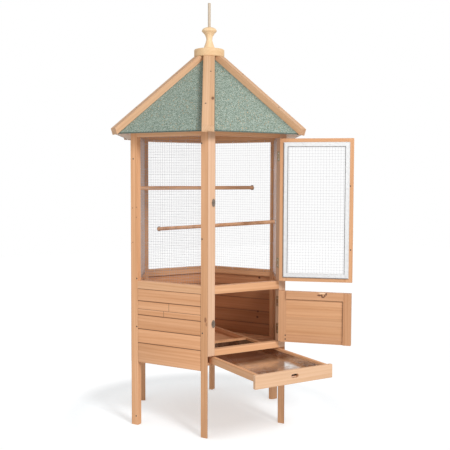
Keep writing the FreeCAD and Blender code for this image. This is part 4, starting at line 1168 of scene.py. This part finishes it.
def build_camera():
    """The photograph's viewpoint: low to the left of the door, slightly tilted down."""
    azimuth, pitch, roll = math.radians(-30.675), 0.0617, 0.0035
    aside, distance, height = 0.0617, 2.9138, 0.9014
    z_axis = Vector((0, 0, 1))
    ahead = Vector((-math.sin(azimuth), math.cos(azimuth), 0))
    right = Vector((math.cos(azimuth), math.sin(azimuth), 0))
    view = ahead * math.cos(pitch) - z_axis * math.sin(pitch)
    up = ahead * math.sin(pitch) + z_axis * math.cos(pitch)
    across = right * math.cos(roll) + up * math.sin(roll)
    up = up * math.cos(roll) - right * math.sin(roll)
    data = bpy.data.cameras.new("camera")
    data.sensor_width, data.lens, data.clip_end = 36, 61.091, 50
    camera = new_object("camera", data)
    camera.matrix_world = Matrix((across, up, -view)).transposed().to_4x4()
    camera.location = right * aside - ahead * distance + z_axis * height
    bpy.context.scene.camera = camera


# The floor under the cage, its colour and its own light, and the strength of the sky as light
FLOOR_COLOUR = (0.75, 0.80, 0.83)
FLOOR_LIFT = 0.40
SKY_LEVEL = 0.62
# Distances from the axis between which the floor turns white
WHITE_FROM, WHITE_TO = 0.42, 0.72


def seen_rays(tree):
    """1 for rays that come from the camera, a reflection or glass, 0 for others."""
    path = tree.nodes.new("ShaderNodeLightPath").outputs
    first = calc("MAXIMUM", path["Is Camera Ray"], path["Is Glossy Ray"])
    return calc("MAXIMUM", first, path["Is Transmission Ray"])


def build_floor():
    """A pale floor that keeps the shadow and is white elsewhere."""
    reach = 6.0
    corners = [(-reach, -reach, 0), (reach, -reach, 0), (reach, reach, 0), (-reach, reach, 0)]
    mesh = bpy.data.meshes.new("floor")
    mesh.from_pydata(corners, [], [(0, 1, 2, 3)])
    floor = new_object("floor", mesh)
    material, shader, at = new_material("pale_floor")
    seen = seen_rays(material.node_tree)
    away = fade(vector_calc("LENGTH", at), WHITE_FROM, WHITE_TO)
    colour = blend(times(away, seen), FLOOR_COLOUR, (0, 0, 0))
    feed(shader.inputs, {
        "Base Color": colour, "Roughness": 0.9, "Specular IOR Level": 0.1, "Emission Color": (1, 1, 1),
        "Emission Strength": times(seen, fade(away, 0.0, 1.0, FLOOR_LIFT, 1.0)),
    })
    mesh.materials.append(material)


def build_light():
    """A soft lamp in front of the cage, a weak one at the left and an even pale sky."""
    aim = Vector((0, 0, 0.75))
    for name, place, size, power in (
        ("key", (-0.1, -3.4, 2.5), 0.9, 84), ("fill", (-3.2, -1.0, 1.6), 2.4, 12),
    ):
        data = bpy.data.lights.new(name, "AREA")
        data.size, data.energy = size, power
        lamp = new_object(name, data)
        lamp.location = place
        lamp.rotation_euler = (aim - Vector(place)).to_track_quat("-Z", "Y").to_euler()
    world = bpy.data.worlds.new("studio")
    bpy.context.scene.world = world
    world.use_nodes = True
    tree = world.node_tree
    strength = fade(seen_rays(tree), 0.0, 1.0, SKY_LEVEL, 1.0)
    feed(tree.nodes["Background"].inputs, {"Color": (1, 1, 1), "Strength": strength})


finish_nodes()
build_boards()
build_meshes()
build_edging()
build_top()
build_frame_screws()
build_staples()
build_perch_ends()
build_door_fixings()
build_hinge_screws()
build_camera()
build_floor()
build_light()
bpy.context.scene.view_settings.view_transform = "Standard"
